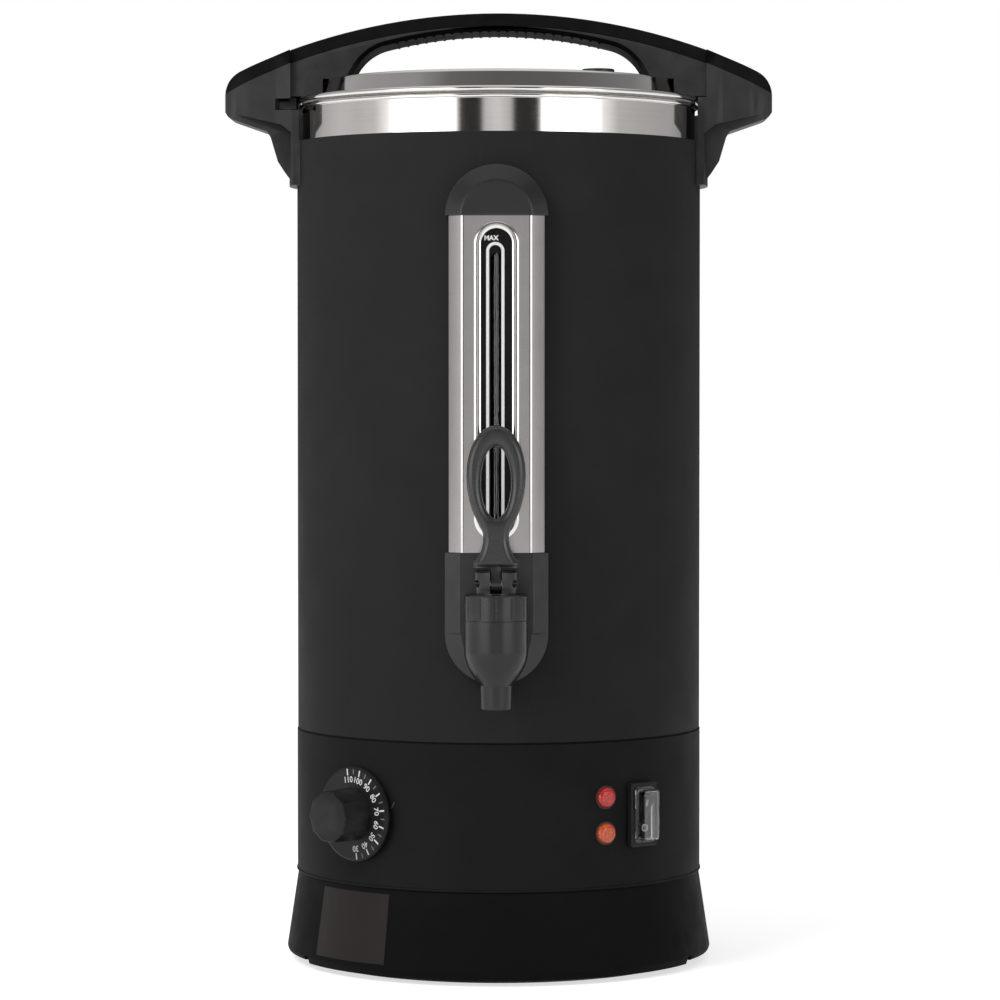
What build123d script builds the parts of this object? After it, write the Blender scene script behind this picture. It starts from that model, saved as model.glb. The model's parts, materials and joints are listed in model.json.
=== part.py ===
from build123d import *

import os
from math import cos, radians, sin, sqrt, tan

# A hot water urn of about ten litres, in millimetres.
# Z is the axis of the tank, z = 0 is the counter, and the tap faces -Y.

# Overall sizes
shell_radius = 112.5
shell_height = 325.9
band_height = 79.2
skirt_height = 46.8
foot_height = 3.0
collar_rise = 20.5  # from the shell's top edge to the top of the collar's bead
crown_rise = 10.0  # from the lid's flange to its crown
handle_rise = 36.2  # from the lid's crown to the crest of its handle
handle_drop = 36.2  # from the crest to where the arc would meet the tips
wing_reach = 39.7  # from the shell to the tip of a side handle

# Walls and clearances
shell_wall = 0.8
band_wall = 1.0
skirt_wall = 2.5
tank_wall = 0.8
tank_gap = 4.4  # between the tank and the shell
sheet = 0.8  # pressed steel of the lid and the tower cover
slip = 0.1  # between parts that fit into each other
running = 0.05  # radial clearance of a shaft that turns or slides

# Base
skirt_flare = 6.4  # how much further out the skirt stands at its foot
skirt_set_back = 0.4  # the skirt's top edge behind the shell
spigot_rise = 6.0
side_lift = 1.8  # the skirt's side arcs end this much higher than its front and rear
side_arc_angle = 63.0
notch_width = 3.5
notch_height = 4.0
plate_height = 5.0  # underside of the base plate above the skirt's lower edge
plate_thickness = 2.5
foot_ring_radius = 100.0
foot_ring_width = 8.0

# Seams of the painted drum
band_proud = 0.3
band_bead = 0.8
seam_gap = 0.8
seam_depth = 0.5

# Collar, seal and lid
collar_set_back = 2.9  # the collar's wall behind the shell
collar_bead = 1.3
lid_bead = 1.5
lid_overhang = 0.2  # the lid's edge beyond the shell
lid_gap = 0.7  # between the two beads
crown_set_back = 13.3  # the foot of the crown's wall behind the shell
crown_draft = 1.9
crown_dome = 1.2

# Handles
strap_width = 44.0
grip_thickness = 9.6
opening_inset = 39.0  # corner of the finger opening behind the shell
opening_drop = 11.0  # from the top of the opening to its corners
opening_corner = 27.0
opening_slope = 60.0
cover_depth = 7.0
seam_offset = 4.6  # the handle's end face outside the shell
seam_play = 0.8
rib_count = 23
rib_pitch = 5.1
rib_radius = 0.8
hook_drop = 7.0  # the hook below the handle's underside
tongue_height = 4.6
tongue_reach = 6.0
tongue_front = 19.7
tongue_back = 8.0
bracket_drop = 24.5  # the bracket's foot below the shell's top edge

# Tower with the level gauge
tower_depth = 12.0
tower_width = 51.5
tower_face = 36.5
tower_bend = 5.5  # how far the bends stand behind the front
bend_radius = 3.0
tower_trim = 1.75  # the plastic ends are this much wider on each side
cover_top_drop = 45.2  # cover's top edge below the shell's
cover_low_rise = 102.2  # cover's lower edge above the shell's
window_width = 16.2
rim_width = 24.3
rim_rise = 0.9
tube_slot = 6.4
glass_radius = 3.6
glass_wall = 1.0

# Tap
tap_rise = 57.2  # axis of the shank above the shell's lower edge
tap_reach = 34.5  # axis of the valve in front of the shell
tap_radius = 16.8
grip_grooves = 12
spout_radius = 8.5
spout_drop = 36.0  # spout's mouth below the shank's axis
spout_bore = 6.0
shank_radius = 8.0
shank_bore = 5.5
pivot_offset = 6.0  # lever pin in front of the valve's axis
pin_radius = 2.0
cam_radius = 1.5
stem_radius = 2.5

# Control panel
dial_angle = -42.3
lamp_angle = 31.0
switch_angle = 42.9
panel_rise = 39.2  # controls above the band's lower edge
lamp_lift = 0.7  # middle of the lamps above that line
lamp_step = 9.7  # each lamp above or below their middle
dial_radius = 25.8
dial_thickness = 3.0
knob_radius = 14.5
knob_length = 18.6
knob_sides = 10
shaft_radius = 3.0
neck_radius = 5.0
lamp_radius = 5.5
lamp_body_radius = 4.2
gland_bore = 4.2
wire_radius = 1.1
tab_width = 6.3  # flat terminals of the electrical parts
tab_thickness = 0.8
tab_length = 8.0

# Levels
skirt_top = foot_height + skirt_height
band_top = skirt_top + band_height
shell_low = band_top + seam_gap
shell_top = shell_low + shell_height
bead_top = shell_top + collar_rise
lid_low = bead_top + lid_gap
flange_top = lid_low + 2 * lid_bead
crown_top = flange_top + crown_rise
crest = crown_top + handle_rise
tap_height = shell_low + tap_rise
panel_height = skirt_top + panel_rise

# Radii
shell_bore = shell_radius - shell_wall
band_radius = shell_radius + band_proud
band_bore = band_radius - band_wall
skirt_radius = shell_radius - skirt_set_back
foot_radius = skirt_radius + skirt_flare
tank_radius = shell_bore - tank_gap
tank_bore = tank_radius - tank_wall
collar_radius = shell_radius - collar_set_back
lid_radius = shell_radius + lid_overhang
crown_radius = shell_radius - crown_set_back
handle_radius = shell_radius + seam_offset
wing_radius = handle_radius + seam_play
tip = shell_radius + wing_reach
arc_radius = (tip**2 + handle_drop**2) / (2 * handle_drop)
arc_centre = crest - arc_radius

os.makedirs("parts", exist_ok=True)


def save(piece, label):
    """Names a finished piece and writes its file."""
    piece.part.label = label
    export_step(piece.part, f"parts/{label}.step")


def wall_plane(angle, height, radius):
    """Stands on a round wall: x to the right, y up and z outwards, seen from outside."""
    turn = radians(angle)
    return Plane(
        origin=(radius * sin(turn), -radius * cos(turn), height),
        x_dir=(cos(turn), sin(turn), 0),
        z_dir=(sin(turn), -cos(turn), 0),
    )


def half_section(inner, outer, low, high):
    """Draws the half section of a ring about Z, on the XZ plane."""
    with Locations(((inner + outer) / 2, (low + high) / 2)):
        Rectangle(outer - inner, high - low)


def fan(from_angle, to_angle, reach):
    """Draws a sector of the floor plan, with angles counted from the front."""
    ends = [(reach * sin(radians(a)), -reach * cos(radians(a))) for a in (from_angle, to_angle)]
    Polygon((0, 0), *ends, align=None)


# Base skirt: a flared moulding with a spigot for the band and a ledge for the base plate
plate_low = foot_height + plate_height
plate_top = plate_low + plate_thickness
screw_circle = skirt_radius - 2.1
ledge_inner = screw_circle - 3.5

with BuildPart() as base_skirt:
    with BuildSketch(Plane.XZ):
        with BuildLine():
            Polyline(
                (skirt_radius - skirt_wall, skirt_top),
                (skirt_radius, skirt_top),
                (foot_radius, foot_height + 4),
                (foot_radius - 1.4, foot_height),
                (foot_radius - skirt_wall - 0.6, foot_height),
                close=True,
            )
        make_face()
        half_section(skirt_radius - skirt_wall, band_bore - 2 * slip, skirt_top - 4, skirt_top + spigot_rise)
        half_section(ledge_inner, foot_radius - 3, plate_top, plate_top + 2)
    revolve(axis=Axis.Z)
    edges_low = base_skirt.edges().filter_by(GeomType.CIRCLE).filter_by(
        lambda e: abs(e.radius - foot_radius) < 0.01
    )
    fillet(edges_low, 2.5)
    for side in (0, 180):
        with BuildSketch(Plane.XY.offset(foot_height)):
            fan(side + side_arc_angle, side + 180 - side_arc_angle, 3 * foot_radius)
        extrude(amount=side_lift, mode=Mode.SUBTRACT)
    for angle in (side_arc_angle, 180 - side_arc_angle, -side_arc_angle, side_arc_angle - 180):
        with BuildSketch(wall_plane(angle, foot_height, foot_radius - skirt_wall - 3)):
            Rectangle(notch_width, 2 * notch_height)
        extrude(amount=8, mode=Mode.SUBTRACT)
    with BuildSketch(Plane.XY.offset(plate_top)):
        with PolarLocations(screw_circle, 4, start_angle=45):
            Circle(1.5)
    extrude(amount=2, mode=Mode.SUBTRACT)
save(base_skirt, "base_skirt")

with BuildPart() as base_plate:
    with BuildSketch(Plane.XY.offset(plate_low)):
        Circle(skirt_radius + 1.5)
        with PolarLocations(screw_circle, 4, start_angle=45):
            Circle(1.5 + slip, mode=Mode.SUBTRACT)
        with PolarLocations(58, 16):
            SlotOverall(34, 5, mode=Mode.SUBTRACT)
    extrude(amount=plate_thickness)
save(base_plate, "base_plate")

with BuildPart() as base_plate_screws:
    with BuildSketch(Plane.XY.offset(plate_low)):
        with PolarLocations(screw_circle, 4, start_angle=45):
            Circle(3.1)
    extrude(amount=-1.8)
    with BuildSketch(Plane.XY.offset(plate_low)):
        with PolarLocations(screw_circle, 4, start_angle=45):
            Circle(1.5)
    extrude(amount=plate_thickness + 2)
    with BuildSketch(Plane.XY.offset(plate_low - 1.8)):
        with PolarLocations(screw_circle, 4, start_angle=45):
            Rectangle(4, 0.8)
            Rectangle(0.8, 4)
    extrude(amount=1, mode=Mode.SUBTRACT)
save(base_plate_screws, "base_plate_screws")

with BuildPart() as foot_ring:
    with BuildSketch(Plane.XZ):
        half_section(
            foot_ring_radius - foot_ring_width / 2, foot_ring_radius + foot_ring_width / 2, 0, plate_low
        )
    revolve(axis=Axis.Z)
    fillet(foot_ring.edges().group_by(Axis.Z)[0], 1.2)
save(foot_ring, "foot_ring")

# Control band: the lower drum, with cut-outs for the controls and the cord
dial_plane = wall_plane(dial_angle, panel_height, band_radius)
lamp_planes = [
    wall_plane(lamp_angle, panel_height + lamp_lift + step, band_radius) for step in (lamp_step, -lamp_step)
]
switch_plane = wall_plane(switch_angle, panel_height, band_radius)
gland_height = skirt_top + 24
gland_plane = wall_plane(180, gland_height, band_radius)
switch_body_width = 12.8
switch_body_height = 26.8

with BuildPart() as control_band:
    with BuildSketch(Plane.XZ):
        half_section(band_bore, band_radius, skirt_top, band_top)
        with Locations((band_radius - band_bead + 0.5, skirt_top + band_bead)):
            Circle(band_bead)
    revolve(axis=Axis.Z)
    fillet(control_band.edges().group_by(Axis.Z)[-1].sort_by(SortBy.LENGTH)[-1], 0.4)
    for plane, radius in [
        (dial_plane, neck_radius + slip),
        (lamp_planes[0], lamp_body_radius + slip),
        (lamp_planes[1], lamp_body_radius + slip),
        (gland_plane, 8.0 + slip),
    ]:
        with BuildSketch(plane):
            Circle(radius)
        extrude(amount=6, both=True, mode=Mode.SUBTRACT)
    with BuildSketch(switch_plane):
        Rectangle(switch_body_width + 0.4, switch_body_height + 0.4)
    extrude(amount=6, both=True, mode=Mode.SUBTRACT)
save(control_band, "control_band")

with BuildPart() as seam_ring:
    with BuildSketch(Plane.XZ):
        half_section(band_bore - 2, shell_bore - slip, band_top - 6, shell_low + 6)
        half_section(band_bore - 2, shell_radius - seam_depth, band_top, shell_low)
    revolve(axis=Axis.Z)
save(seam_ring, "seam_ring")

# Outer shell, with holes for the tap's shank and for the screws that come from inside
bracket_screw_height = shell_top - bracket_drop + 9
bracket_screws = [(side * 90 + turn, bracket_screw_height) for side in (-1, 1) for turn in (-6, 6)]
cover_top = shell_top - cover_top_drop
cover_low = shell_low + cover_low_rise
tower_screws_at = [
    (x, z) for z in (cover_top + 8.5, tap_height + 28) for x in (-13.0, 13.0)
]

with BuildPart() as outer_shell:
    with BuildSketch(Plane.XZ):
        half_section(shell_bore, shell_radius, shell_low, shell_top)
        half_section(collar_radius + 0.15, shell_radius, shell_top - shell_wall, shell_top)
    revolve(axis=Axis.Z)
    rims = outer_shell.edges().filter_by(GeomType.CIRCLE).filter_by(
        lambda e: abs(e.radius - shell_radius) < 0.01
    )
    fillet(rims, 0.5)
    with BuildSketch(Plane.XZ.offset(shell_radius)):
        with Locations((0, tap_height)):
            Circle(shank_radius + slip)
        with Locations(*tower_screws_at):
            Circle(1.7)
    extrude(amount=12, both=True, mode=Mode.SUBTRACT)
    for angle, height in bracket_screws:
        with BuildSketch(wall_plane(angle, height, shell_radius)):
            Circle(2.1)
        extrude(amount=4, both=True, mode=Mode.SUBTRACT)
save(outer_shell, "outer_shell")

# Polished collar, hung in the shell's mouth
collar_bore = collar_radius - 1.0
bead_centre = bead_top - collar_bead

with BuildPart() as rim_collar:
    with BuildSketch(Plane.XZ):
        half_section(collar_bore, collar_radius, shell_top - 8, bead_centre)
        half_section(collar_bore, shell_bore - 0.3, shell_top - 2 * shell_wall, shell_top - shell_wall)
        with Locations((collar_radius + 0.4, bead_centre)):
            Circle(collar_bead)
    revolve(axis=Axis.Z)
save(rim_collar, "rim_collar")

# Water tank: a pressed pan whose flange rests on the collar's inner edge
tank_low = shell_low + 11.4
tank_flange = bead_centre - 2.2

with BuildPart() as water_tank:
    with BuildSketch(Plane.XZ):
        half_section(0, tank_radius, tank_low, tank_flange)
        half_section(0, collar_bore, tank_flange - tank_wall, tank_flange)
    revolve(axis=Axis.Z)
    fillet(water_tank.edges().group_by(Axis.Z)[0], 7)
    with BuildSketch(Plane.XZ) as tank_inside:
        half_section(0, tank_bore, tank_low + tank_wall, tank_flange + 5)
        fillet(tank_inside.vertices().sort_by_distance((tank_bore, tank_low))[0], 6.2)
    revolve(axis=Axis.Z, mode=Mode.SUBTRACT)
    with BuildSketch(Plane.XZ.offset(tank_radius)):
        with Locations((0, tap_height)):
            Circle(shank_radius + slip)
    extrude(amount=14, both=True, mode=Mode.SUBTRACT)
save(water_tank, "water_tank")

# Heater under the tank
plate_radius = 72.0
heater_thickness = 5.0
heater_top = tank_low
element_radius = 58.0
element_tube = 4.0
element_height = heater_top - heater_thickness - 1.0
clamp_height = element_height - element_tube - 2.5

with BuildPart() as heating_plate:
    with BuildSketch(Plane.XY.offset(heater_top)):
        Circle(plate_radius)
    extrude(amount=-heater_thickness)
    with BuildSketch(Plane.XZ):
        with Locations((element_radius, element_height)):
            Circle(element_tube + 0.02)
    revolve(axis=Axis.Z, mode=Mode.SUBTRACT)
    with BuildSketch(Plane.XY.offset(clamp_height - 4)):
        Circle(3)
    extrude(until=Until.NEXT)
save(heating_plate, "heating_plate")

leg_drop = 16.0
leg_turn = 12.0
with BuildPart() as heating_element:
    with BuildSketch(Plane.XZ.rotated((0, 0, 90 + leg_turn))):
        with Locations((element_radius, element_height)):
            Circle(element_tube)
    revolve(axis=Axis.Z, revolution_arc=360 - 2 * leg_turn)
    for angle in (90 + leg_turn, 90 - leg_turn):
        place = (element_radius * cos(radians(angle)), element_radius * sin(radians(angle)))
        with Locations((*place, element_height)):
            Sphere(element_tube)
        with BuildSketch(Plane.XY.offset(element_height)):
            with Locations(place):
                Circle(element_tube)
        extrude(amount=-leg_drop)
        with BuildSketch(Plane.XY.offset(element_height - leg_drop)):
            with Locations(place):
                Rectangle(tab_width, tab_thickness)
        extrude(amount=-tab_length)
save(heating_element, "heating_element")

with BuildPart() as heater_clamp:
    with BuildSketch(Plane.XY.offset(clamp_height)):
        Rectangle(2 * element_radius + 16, 14)
        Circle(3 + slip, mode=Mode.SUBTRACT)
    extrude(amount=2.5)
    with BuildSketch(Plane.XY.offset(clamp_height)):
        RegularPolygon(6, 6)
        Circle(3 + slip, mode=Mode.SUBTRACT)
    extrude(amount=-4)
save(heater_clamp, "heater_clamp")

cutout_at = (0, -30)
cutout_height = 7.0
with BuildPart() as boil_dry_cutout:
    with BuildSketch(Plane.XY.offset(heater_top - heater_thickness)):
        with Locations(cutout_at):
            Circle(8.5)
    extrude(amount=-cutout_height)
    with BuildSketch(Plane.XY.offset(heater_top - heater_thickness)):
        with Locations(cutout_at):
            SlotOverall(30, 9)
    extrude(amount=-1)
    for side in (-1, 1):
        with BuildSketch(Plane.XY.offset(heater_top - heater_thickness - cutout_height)):
            with Locations((cutout_at[0] + side * 4.5, cutout_at[1])):
                Rectangle(tab_thickness, tab_width)
        extrude(amount=-tab_length)
save(boil_dry_cutout, "boil_dry_cutout")

# Thermostat behind the band, its shaft, and the knob with its dial
dial_low = 0.8
dial_web = 1.2  # thickness of the dial's face
dial_top = dial_low + dial_thickness
dial_axis = Axis(dial_plane.origin, dial_plane.z_dir)
thermostat_back = -4.0
thermostat_depth = 20.0
neck_end = dial_top - dial_web - 0.2
shaft_depth = 14.0  # from the front of the thermostat's body
shaft_grip = 15.0  # in the knob
with BuildPart() as thermostat_body:
    with BuildSketch(dial_plane.offset(thermostat_back)):
        RectangleRounded(34, 36, 3)
    extrude(amount=-thermostat_depth)
    with BuildSketch(dial_plane.offset(thermostat_back)):
        Circle(neck_radius)
    extrude(amount=neck_end - thermostat_back)
    with BuildSketch(dial_plane.offset(thermostat_back - shaft_depth)):
        Circle(shaft_radius + running)
    extrude(amount=shaft_depth + neck_end - thermostat_back, mode=Mode.SUBTRACT)
    for side in (-1, 1):
        with BuildSketch(dial_plane.offset(thermostat_back - thermostat_depth)):
            with Locations((side * 8, 10)):
                Rectangle(tab_width, tab_thickness)
        extrude(amount=-tab_length)
save(thermostat_body, "thermostat_body")

nut_low = 0.3
with BuildPart() as thermostat_nut:
    with BuildSketch(dial_plane.offset(nut_low)):
        RegularPolygon(7.2, 6)
        Circle(neck_radius, mode=Mode.SUBTRACT)
    extrude(amount=neck_end - nut_low - 0.2)
save(thermostat_nut, "thermostat_nut")

with BuildPart() as thermostat_shaft:
    with BuildSketch(dial_plane.offset(thermostat_back - shaft_depth + slip)):
        Circle(shaft_radius)
    extrude(amount=shaft_depth - slip - thermostat_back + dial_top + shaft_grip)
save(thermostat_shaft, "thermostat_shaft")

with BuildPart() as dial_skirt:
    with BuildSketch(dial_plane.offset(dial_low)):
        Circle(dial_radius)
    extrude(amount=dial_thickness)
    chamfer(dial_skirt.faces().sort_by(dial_axis)[-1].edges(), 1.4)
    with BuildSketch(dial_plane.offset(dial_low)):
        Circle(dial_radius - 2)
    extrude(amount=dial_thickness - dial_web, mode=Mode.SUBTRACT)
    with BuildSketch(dial_plane.offset(dial_low)):
        Circle(shaft_radius)
    extrude(amount=dial_thickness, mode=Mode.SUBTRACT)
save(dial_skirt, "dial_skirt")

with BuildPart() as thermostat_knob:
    with BuildSketch(dial_plane.offset(dial_top)):
        RegularPolygon(knob_radius, knob_sides)
    extrude(amount=knob_length, taper=1.2)
    fillet(thermostat_knob.faces().sort_by(dial_axis)[-1].edges(), 1.0)
    with BuildSketch(dial_plane.offset(dial_top)):
        Circle(shaft_radius)
    extrude(amount=shaft_grip, mode=Mode.SUBTRACT)
save(thermostat_knob, "thermostat_knob")

# Bulb of the thermostat in a clip under the heating plate, with its capillary
bulb_radius = 3.0
bulb_height = heater_top - heater_thickness - bulb_radius
bulb_y = 32.0
with BuildPart() as thermostat_bulb:
    with BuildSketch(Plane.YZ.offset(-34)):
        with Locations((bulb_y, bulb_height)):
            Circle(bulb_radius)
    extrude(amount=60)
    capillary_end = tuple(dial_plane.offset(thermostat_back - 20.05).from_local_coords((-6, -8, 0)))
    with BuildLine() as capillary:
        FilletPolyline(
            (-33, bulb_y, bulb_height),
            (-42, bulb_y, bulb_height),
            (-46, bulb_y - 6, clamp_height - 12),
            (capillary_end[0] + 10, capillary_end[1] + 30, clamp_height - 22),
            (capillary_end[0] + 6, capillary_end[1] + 6, capillary_end[2]),
            capillary_end,
            radius=4,
        )
    with BuildSketch(Plane(origin=capillary.line @ 0, z_dir=capillary.line % 0)):
        Circle(0.9)
    sweep()
save(thermostat_bulb, "thermostat_bulb")

# Lamps: a domed lens in front of the band on a round body, held by a nut behind it
def lamp(plane, label):
    with BuildPart() as lens:
        with BuildSketch(plane.offset(0.15)):
            Circle(lamp_radius)
        extrude(amount=3.6)
        fillet(lens.faces().sort_by(Axis(plane.origin, plane.z_dir))[-1].edges(), 2.6)
        with BuildSketch(plane.offset(0.15)):
            Circle(lamp_body_radius)
        extrude(amount=-16)
    save(lens, label)


lamp(lamp_planes[0], "power_lamp_lens")
lamp(lamp_planes[1], "heat_lamp_lens")

with BuildPart() as lamp_nuts:
    for plane in lamp_planes:
        with BuildSketch(plane.offset(-band_wall - 0.4)):
            Circle(6.5)
            Circle(lamp_body_radius, mode=Mode.SUBTRACT)
        extrude(amount=-2.5)
save(lamp_nuts, "lamp_nuts")

# Rocker switch under a clear splash cover
frame_width = 18.8
frame_height = 34.8
frame_thickness = 3.4
frame_low = 0.55
frame_top = frame_low + frame_thickness
well_width = 8.6
well_height = 23.6
well_depth = 9.0
switch_depth = 18.0
rocker_play = 0.4
rocker_swing = 14.0
trunnion_radius = 1.2
pivot_depth = 2.5
switch_axis = Axis(switch_plane.origin, switch_plane.z_dir)
rocker_pivot = switch_plane.from_local_coords((0, 0, frame_top - pivot_depth))


def rocker_plane(tilt):
    """Looks along the rocker's axis: x up the panel, tilted outwards, and y out of it."""
    turn = radians(tilt)
    up = switch_plane.y_dir * cos(turn) + switch_plane.z_dir * sin(turn)
    return Plane(origin=rocker_pivot, x_dir=up, z_dir=switch_plane.x_dir)


with BuildPart() as switch_housing:
    with BuildSketch(switch_plane.offset(frame_low)):
        RectangleRounded(frame_width, frame_height, 1.2)
    extrude(amount=frame_thickness)
    fillet(switch_housing.faces().sort_by(switch_axis)[-1].edges(), 0.6)
    with BuildSketch(switch_plane.offset(frame_low)):
        Rectangle(switch_body_width, switch_body_height)
    extrude(amount=-switch_depth)
    with BuildSketch(switch_plane.offset(frame_top)):
        Rectangle(well_width, well_height)
    extrude(amount=-well_depth, mode=Mode.SUBTRACT)
    for step in (-8, 0, 8):
        with BuildSketch(switch_plane.offset(frame_low - switch_depth)):
            with Locations((0, step)):
                Rectangle(tab_width, tab_thickness)
        extrude(amount=-tab_length)
    with BuildSketch(rocker_plane(0)):
        Circle(trunnion_radius + running)
    extrude(amount=switch_body_width / 2 - 0.2, both=True, mode=Mode.SUBTRACT)
save(switch_housing, "switch_housing")

with BuildPart() as switch_rocker:
    with BuildSketch(rocker_plane(rocker_swing / 2)):
        Circle(well_height / 2 - rocker_play)
        with BuildLine():
            Polyline((-12, -4), (12, -4), (12, 4.8), (0, 2.4), (-12, 4.8), close=True)
        make_face(mode=Mode.INTERSECT)
    extrude(amount=well_width / 2 - rocker_play, both=True)
    with BuildSketch(rocker_plane(0)):
        Circle(trunnion_radius)
    extrude(amount=well_width / 2 + 0.6, both=True)
save(switch_rocker, "switch_rocker")

cover_width = 11.0
cover_height = 27.2
cover_rise = 6.4
cover_wall = 0.8
with BuildPart() as switch_cover:
    with BuildSketch(switch_plane.offset(frame_top)):
        RectangleRounded(cover_width, cover_height, 1.5)
    extrude(amount=cover_rise)
    fillet(switch_cover.faces().sort_by(switch_axis)[-1].edges(), 0.9)
    with BuildSketch(switch_plane.offset(frame_top)):
        RectangleRounded(cover_width + 3, cover_height + 3, 2)
    extrude(amount=0.8)
    with BuildSketch(switch_plane.offset(frame_top)):
        RectangleRounded(cover_width - 2 * cover_wall, cover_height - 2 * cover_wall, 0.7)
    extrude(amount=cover_rise - cover_wall, mode=Mode.SUBTRACT)
save(switch_cover, "switch_cover")

# Cord gland at the rear, and the terminal block on the base plate
gland_axis = Axis(gland_plane.origin, gland_plane.z_dir)
with BuildPart() as cord_gland:
    with BuildSketch(gland_plane.offset(0.05)):
        RegularPolygon(11, 6)
    extrude(amount=5)
    with BuildSketch(gland_plane.offset(5)):
        Circle(9)
    extrude(amount=9)
    fillet(cord_gland.faces().sort_by(gland_axis)[-1].edges(), 2.5)
    with BuildSketch(gland_plane.offset(0.05)):
        Circle(8)
    extrude(amount=-12)
    with BuildSketch(gland_plane.offset(-6)):
        Circle(10.5)
    extrude(amount=-4)
    with BuildSketch(gland_plane.offset(-20)):
        Circle(gland_bore)
    extrude(amount=40, mode=Mode.SUBTRACT)
save(cord_gland, "cord_gland")

block_y = 60.0
block_length = 44.0
block_width = 18.0
block_height = 15.0
with BuildPart() as terminal_block:
    with BuildSketch(Plane.XY.offset(plate_top)):
        with Locations((0, block_y)):
            RectangleRounded(block_length, block_width, 1.5)
    extrude(amount=block_height)
    with BuildSketch(Plane.XY.offset(plate_top + block_height)):
        with Locations((0, block_y)), GridLocations(14, 9, 3, 2):
            Circle(2.4)
    extrude(amount=-6, mode=Mode.SUBTRACT)
save(terminal_block, "terminal_block")


# Tower: the housing of the level gauge in front of the shell
tower_front = shell_radius + tower_depth
half_tower = tower_width / 2
half_face = tower_face / 2
half_trim = half_tower + tower_trim
shell_clear = shell_radius + 0.15
glass_at = shell_radius + tower_depth - sheet - 1.6 - 0.5 - glass_radius
trim_straight = tower_depth - tower_bend - 0.3
trim_taper = 54.0


with BuildPart() as shell_core:
    with BuildSketch(Plane.XY):
        Circle(shell_clear)
    extrude(amount=crest)

with BuildPart() as tower_cover:
    with BuildSketch(Plane.XY.offset(cover_low)) as channel:
        with BuildLine():
            FilletPolyline(
                (-half_tower, -shell_radius + 8),
                (-half_tower, -tower_front + tower_bend),
                (-half_face, -tower_front),
                (half_face, -tower_front),
                (half_tower, -tower_front + tower_bend),
                (half_tower, -shell_radius + 8),
                radius=bend_radius,
            )
            offset(amount=sheet, side=Side.LEFT)
        make_face()
    extrude(amount=cover_top - cover_low)
    slot_top = cover_top - 7.0
    slot_low = cover_low + 10.3
    slot_middle = (slot_top + slot_low) / 2
    with BuildSketch(Plane.XZ.offset(tower_front)):
        with Locations((0, slot_middle + (rim_width - window_width) / 4)):
            SlotOverall(slot_top - slot_low + 4, rim_width, rotation=90)
    extrude(amount=rim_rise)
    chamfer(tower_cover.faces().sort_by(Axis.Y)[0].edges(), rim_rise / 2)
    with BuildSketch(Plane.XZ.offset(tower_front - 4)):
        with Locations((0, slot_middle)):
            SlotOverall(slot_top - slot_low, window_width, rotation=90)
    extrude(amount=10, mode=Mode.SUBTRACT)
    add(shell_core.part, mode=Mode.SUBTRACT)
save(tower_cover, "tower_cover")

window_back = tower_front - sheet - 1.6
with BuildPart() as gauge_window:
    with BuildSketch(Plane.XZ.offset(window_back)):
        with Locations((0, slot_middle)):
            RectangleRounded(tower_face - 5, slot_top - slot_low + 10, 4)
        with Locations((0, slot_middle - 4.2)):
            SlotOverall(slot_top - slot_low - 17, tube_slot, rotation=90, mode=Mode.SUBTRACT)
    extrude(amount=1.6)
save(gauge_window, "gauge_window")

seal_radius = glass_radius + 0.8
glass_top = cover_top + 5.0
glass_low = tap_height + 12.4


def trim_blank(centre, away):
    """A half-round plastic end of the tower, away upwards (1) or downwards (-1) of its edge."""
    with BuildPart() as blank:
        with BuildSketch(Plane.XZ.offset(shell_radius - 8)):
            with Locations((0, centre)):
                Circle(half_trim)
        extrude(amount=8 + trim_straight)
        with BuildSketch(Plane.XZ.offset(shell_radius + trim_straight)):
            with Locations((0, centre)):
                Circle(half_trim)
        extrude(amount=tower_depth - trim_straight + rim_rise / 2, taper=trim_taper)
        with BuildSketch(Plane.XZ.offset(shell_radius - 10)):
            with Locations((0, centre - away * 2 * half_trim)):
                Rectangle(4 * half_trim, 4 * half_trim)
        extrude(amount=40, mode=Mode.SUBTRACT)
        add(shell_core.part, mode=Mode.SUBTRACT)
    return blank.part


with BuildPart() as tower_top_cap:
    add(trim_blank(cover_top, 1))
    with BuildSketch(Plane.XY.offset(cover_top)):
        with Locations((0, -glass_at)):
            Circle(seal_radius + 0.02)
    extrude(amount=8, mode=Mode.SUBTRACT)
    with BuildSketch(Plane.XZ.offset(shell_radius - 4)):
        with Locations(*tower_screws_at[:2]):
            Circle(1.5)
    extrude(amount=11, mode=Mode.SUBTRACT)
save(tower_top_cap, "tower_top_cap")

base_end = tap_height + 2.0
with BuildPart() as tower_base:
    add(trim_blank(base_end, -1))
    with BuildSketch(Plane.XY.offset(base_end)):
        with BuildLine():
            Polyline(
                (-half_trim, -shell_radius + 8),
                (-half_trim, -shell_radius - trim_straight),
                (-half_face - 1.5, -tower_front - rim_rise / 2),
                (half_face + 1.5, -tower_front - rim_rise / 2),
                (half_trim, -shell_radius - trim_straight),
                (half_trim, -shell_radius + 8),
                close=True,
            )
        make_face()
    extrude(amount=cover_low - base_end)
    add(shell_core.part, mode=Mode.SUBTRACT)
    with BuildSketch(Plane.XZ.offset(shell_radius - 8)):
        with Locations((0, tap_height)):
            Circle(shank_radius + slip)
    extrude(amount=40, mode=Mode.SUBTRACT)
    with BuildSketch(Plane.XY.offset(tap_height)):
        with Locations((0, -glass_at + 3)):
            Rectangle(2 * seal_radius + 1, 2 * seal_radius + 6.5)
    extrude(amount=cover_low - tap_height, mode=Mode.SUBTRACT)
    with BuildSketch(Plane.XZ.offset(shell_radius - 4)):
        with Locations(*tower_screws_at[2:]):
            Circle(1.5)
    extrude(amount=11, mode=Mode.SUBTRACT)
save(tower_base, "tower_base")

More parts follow.
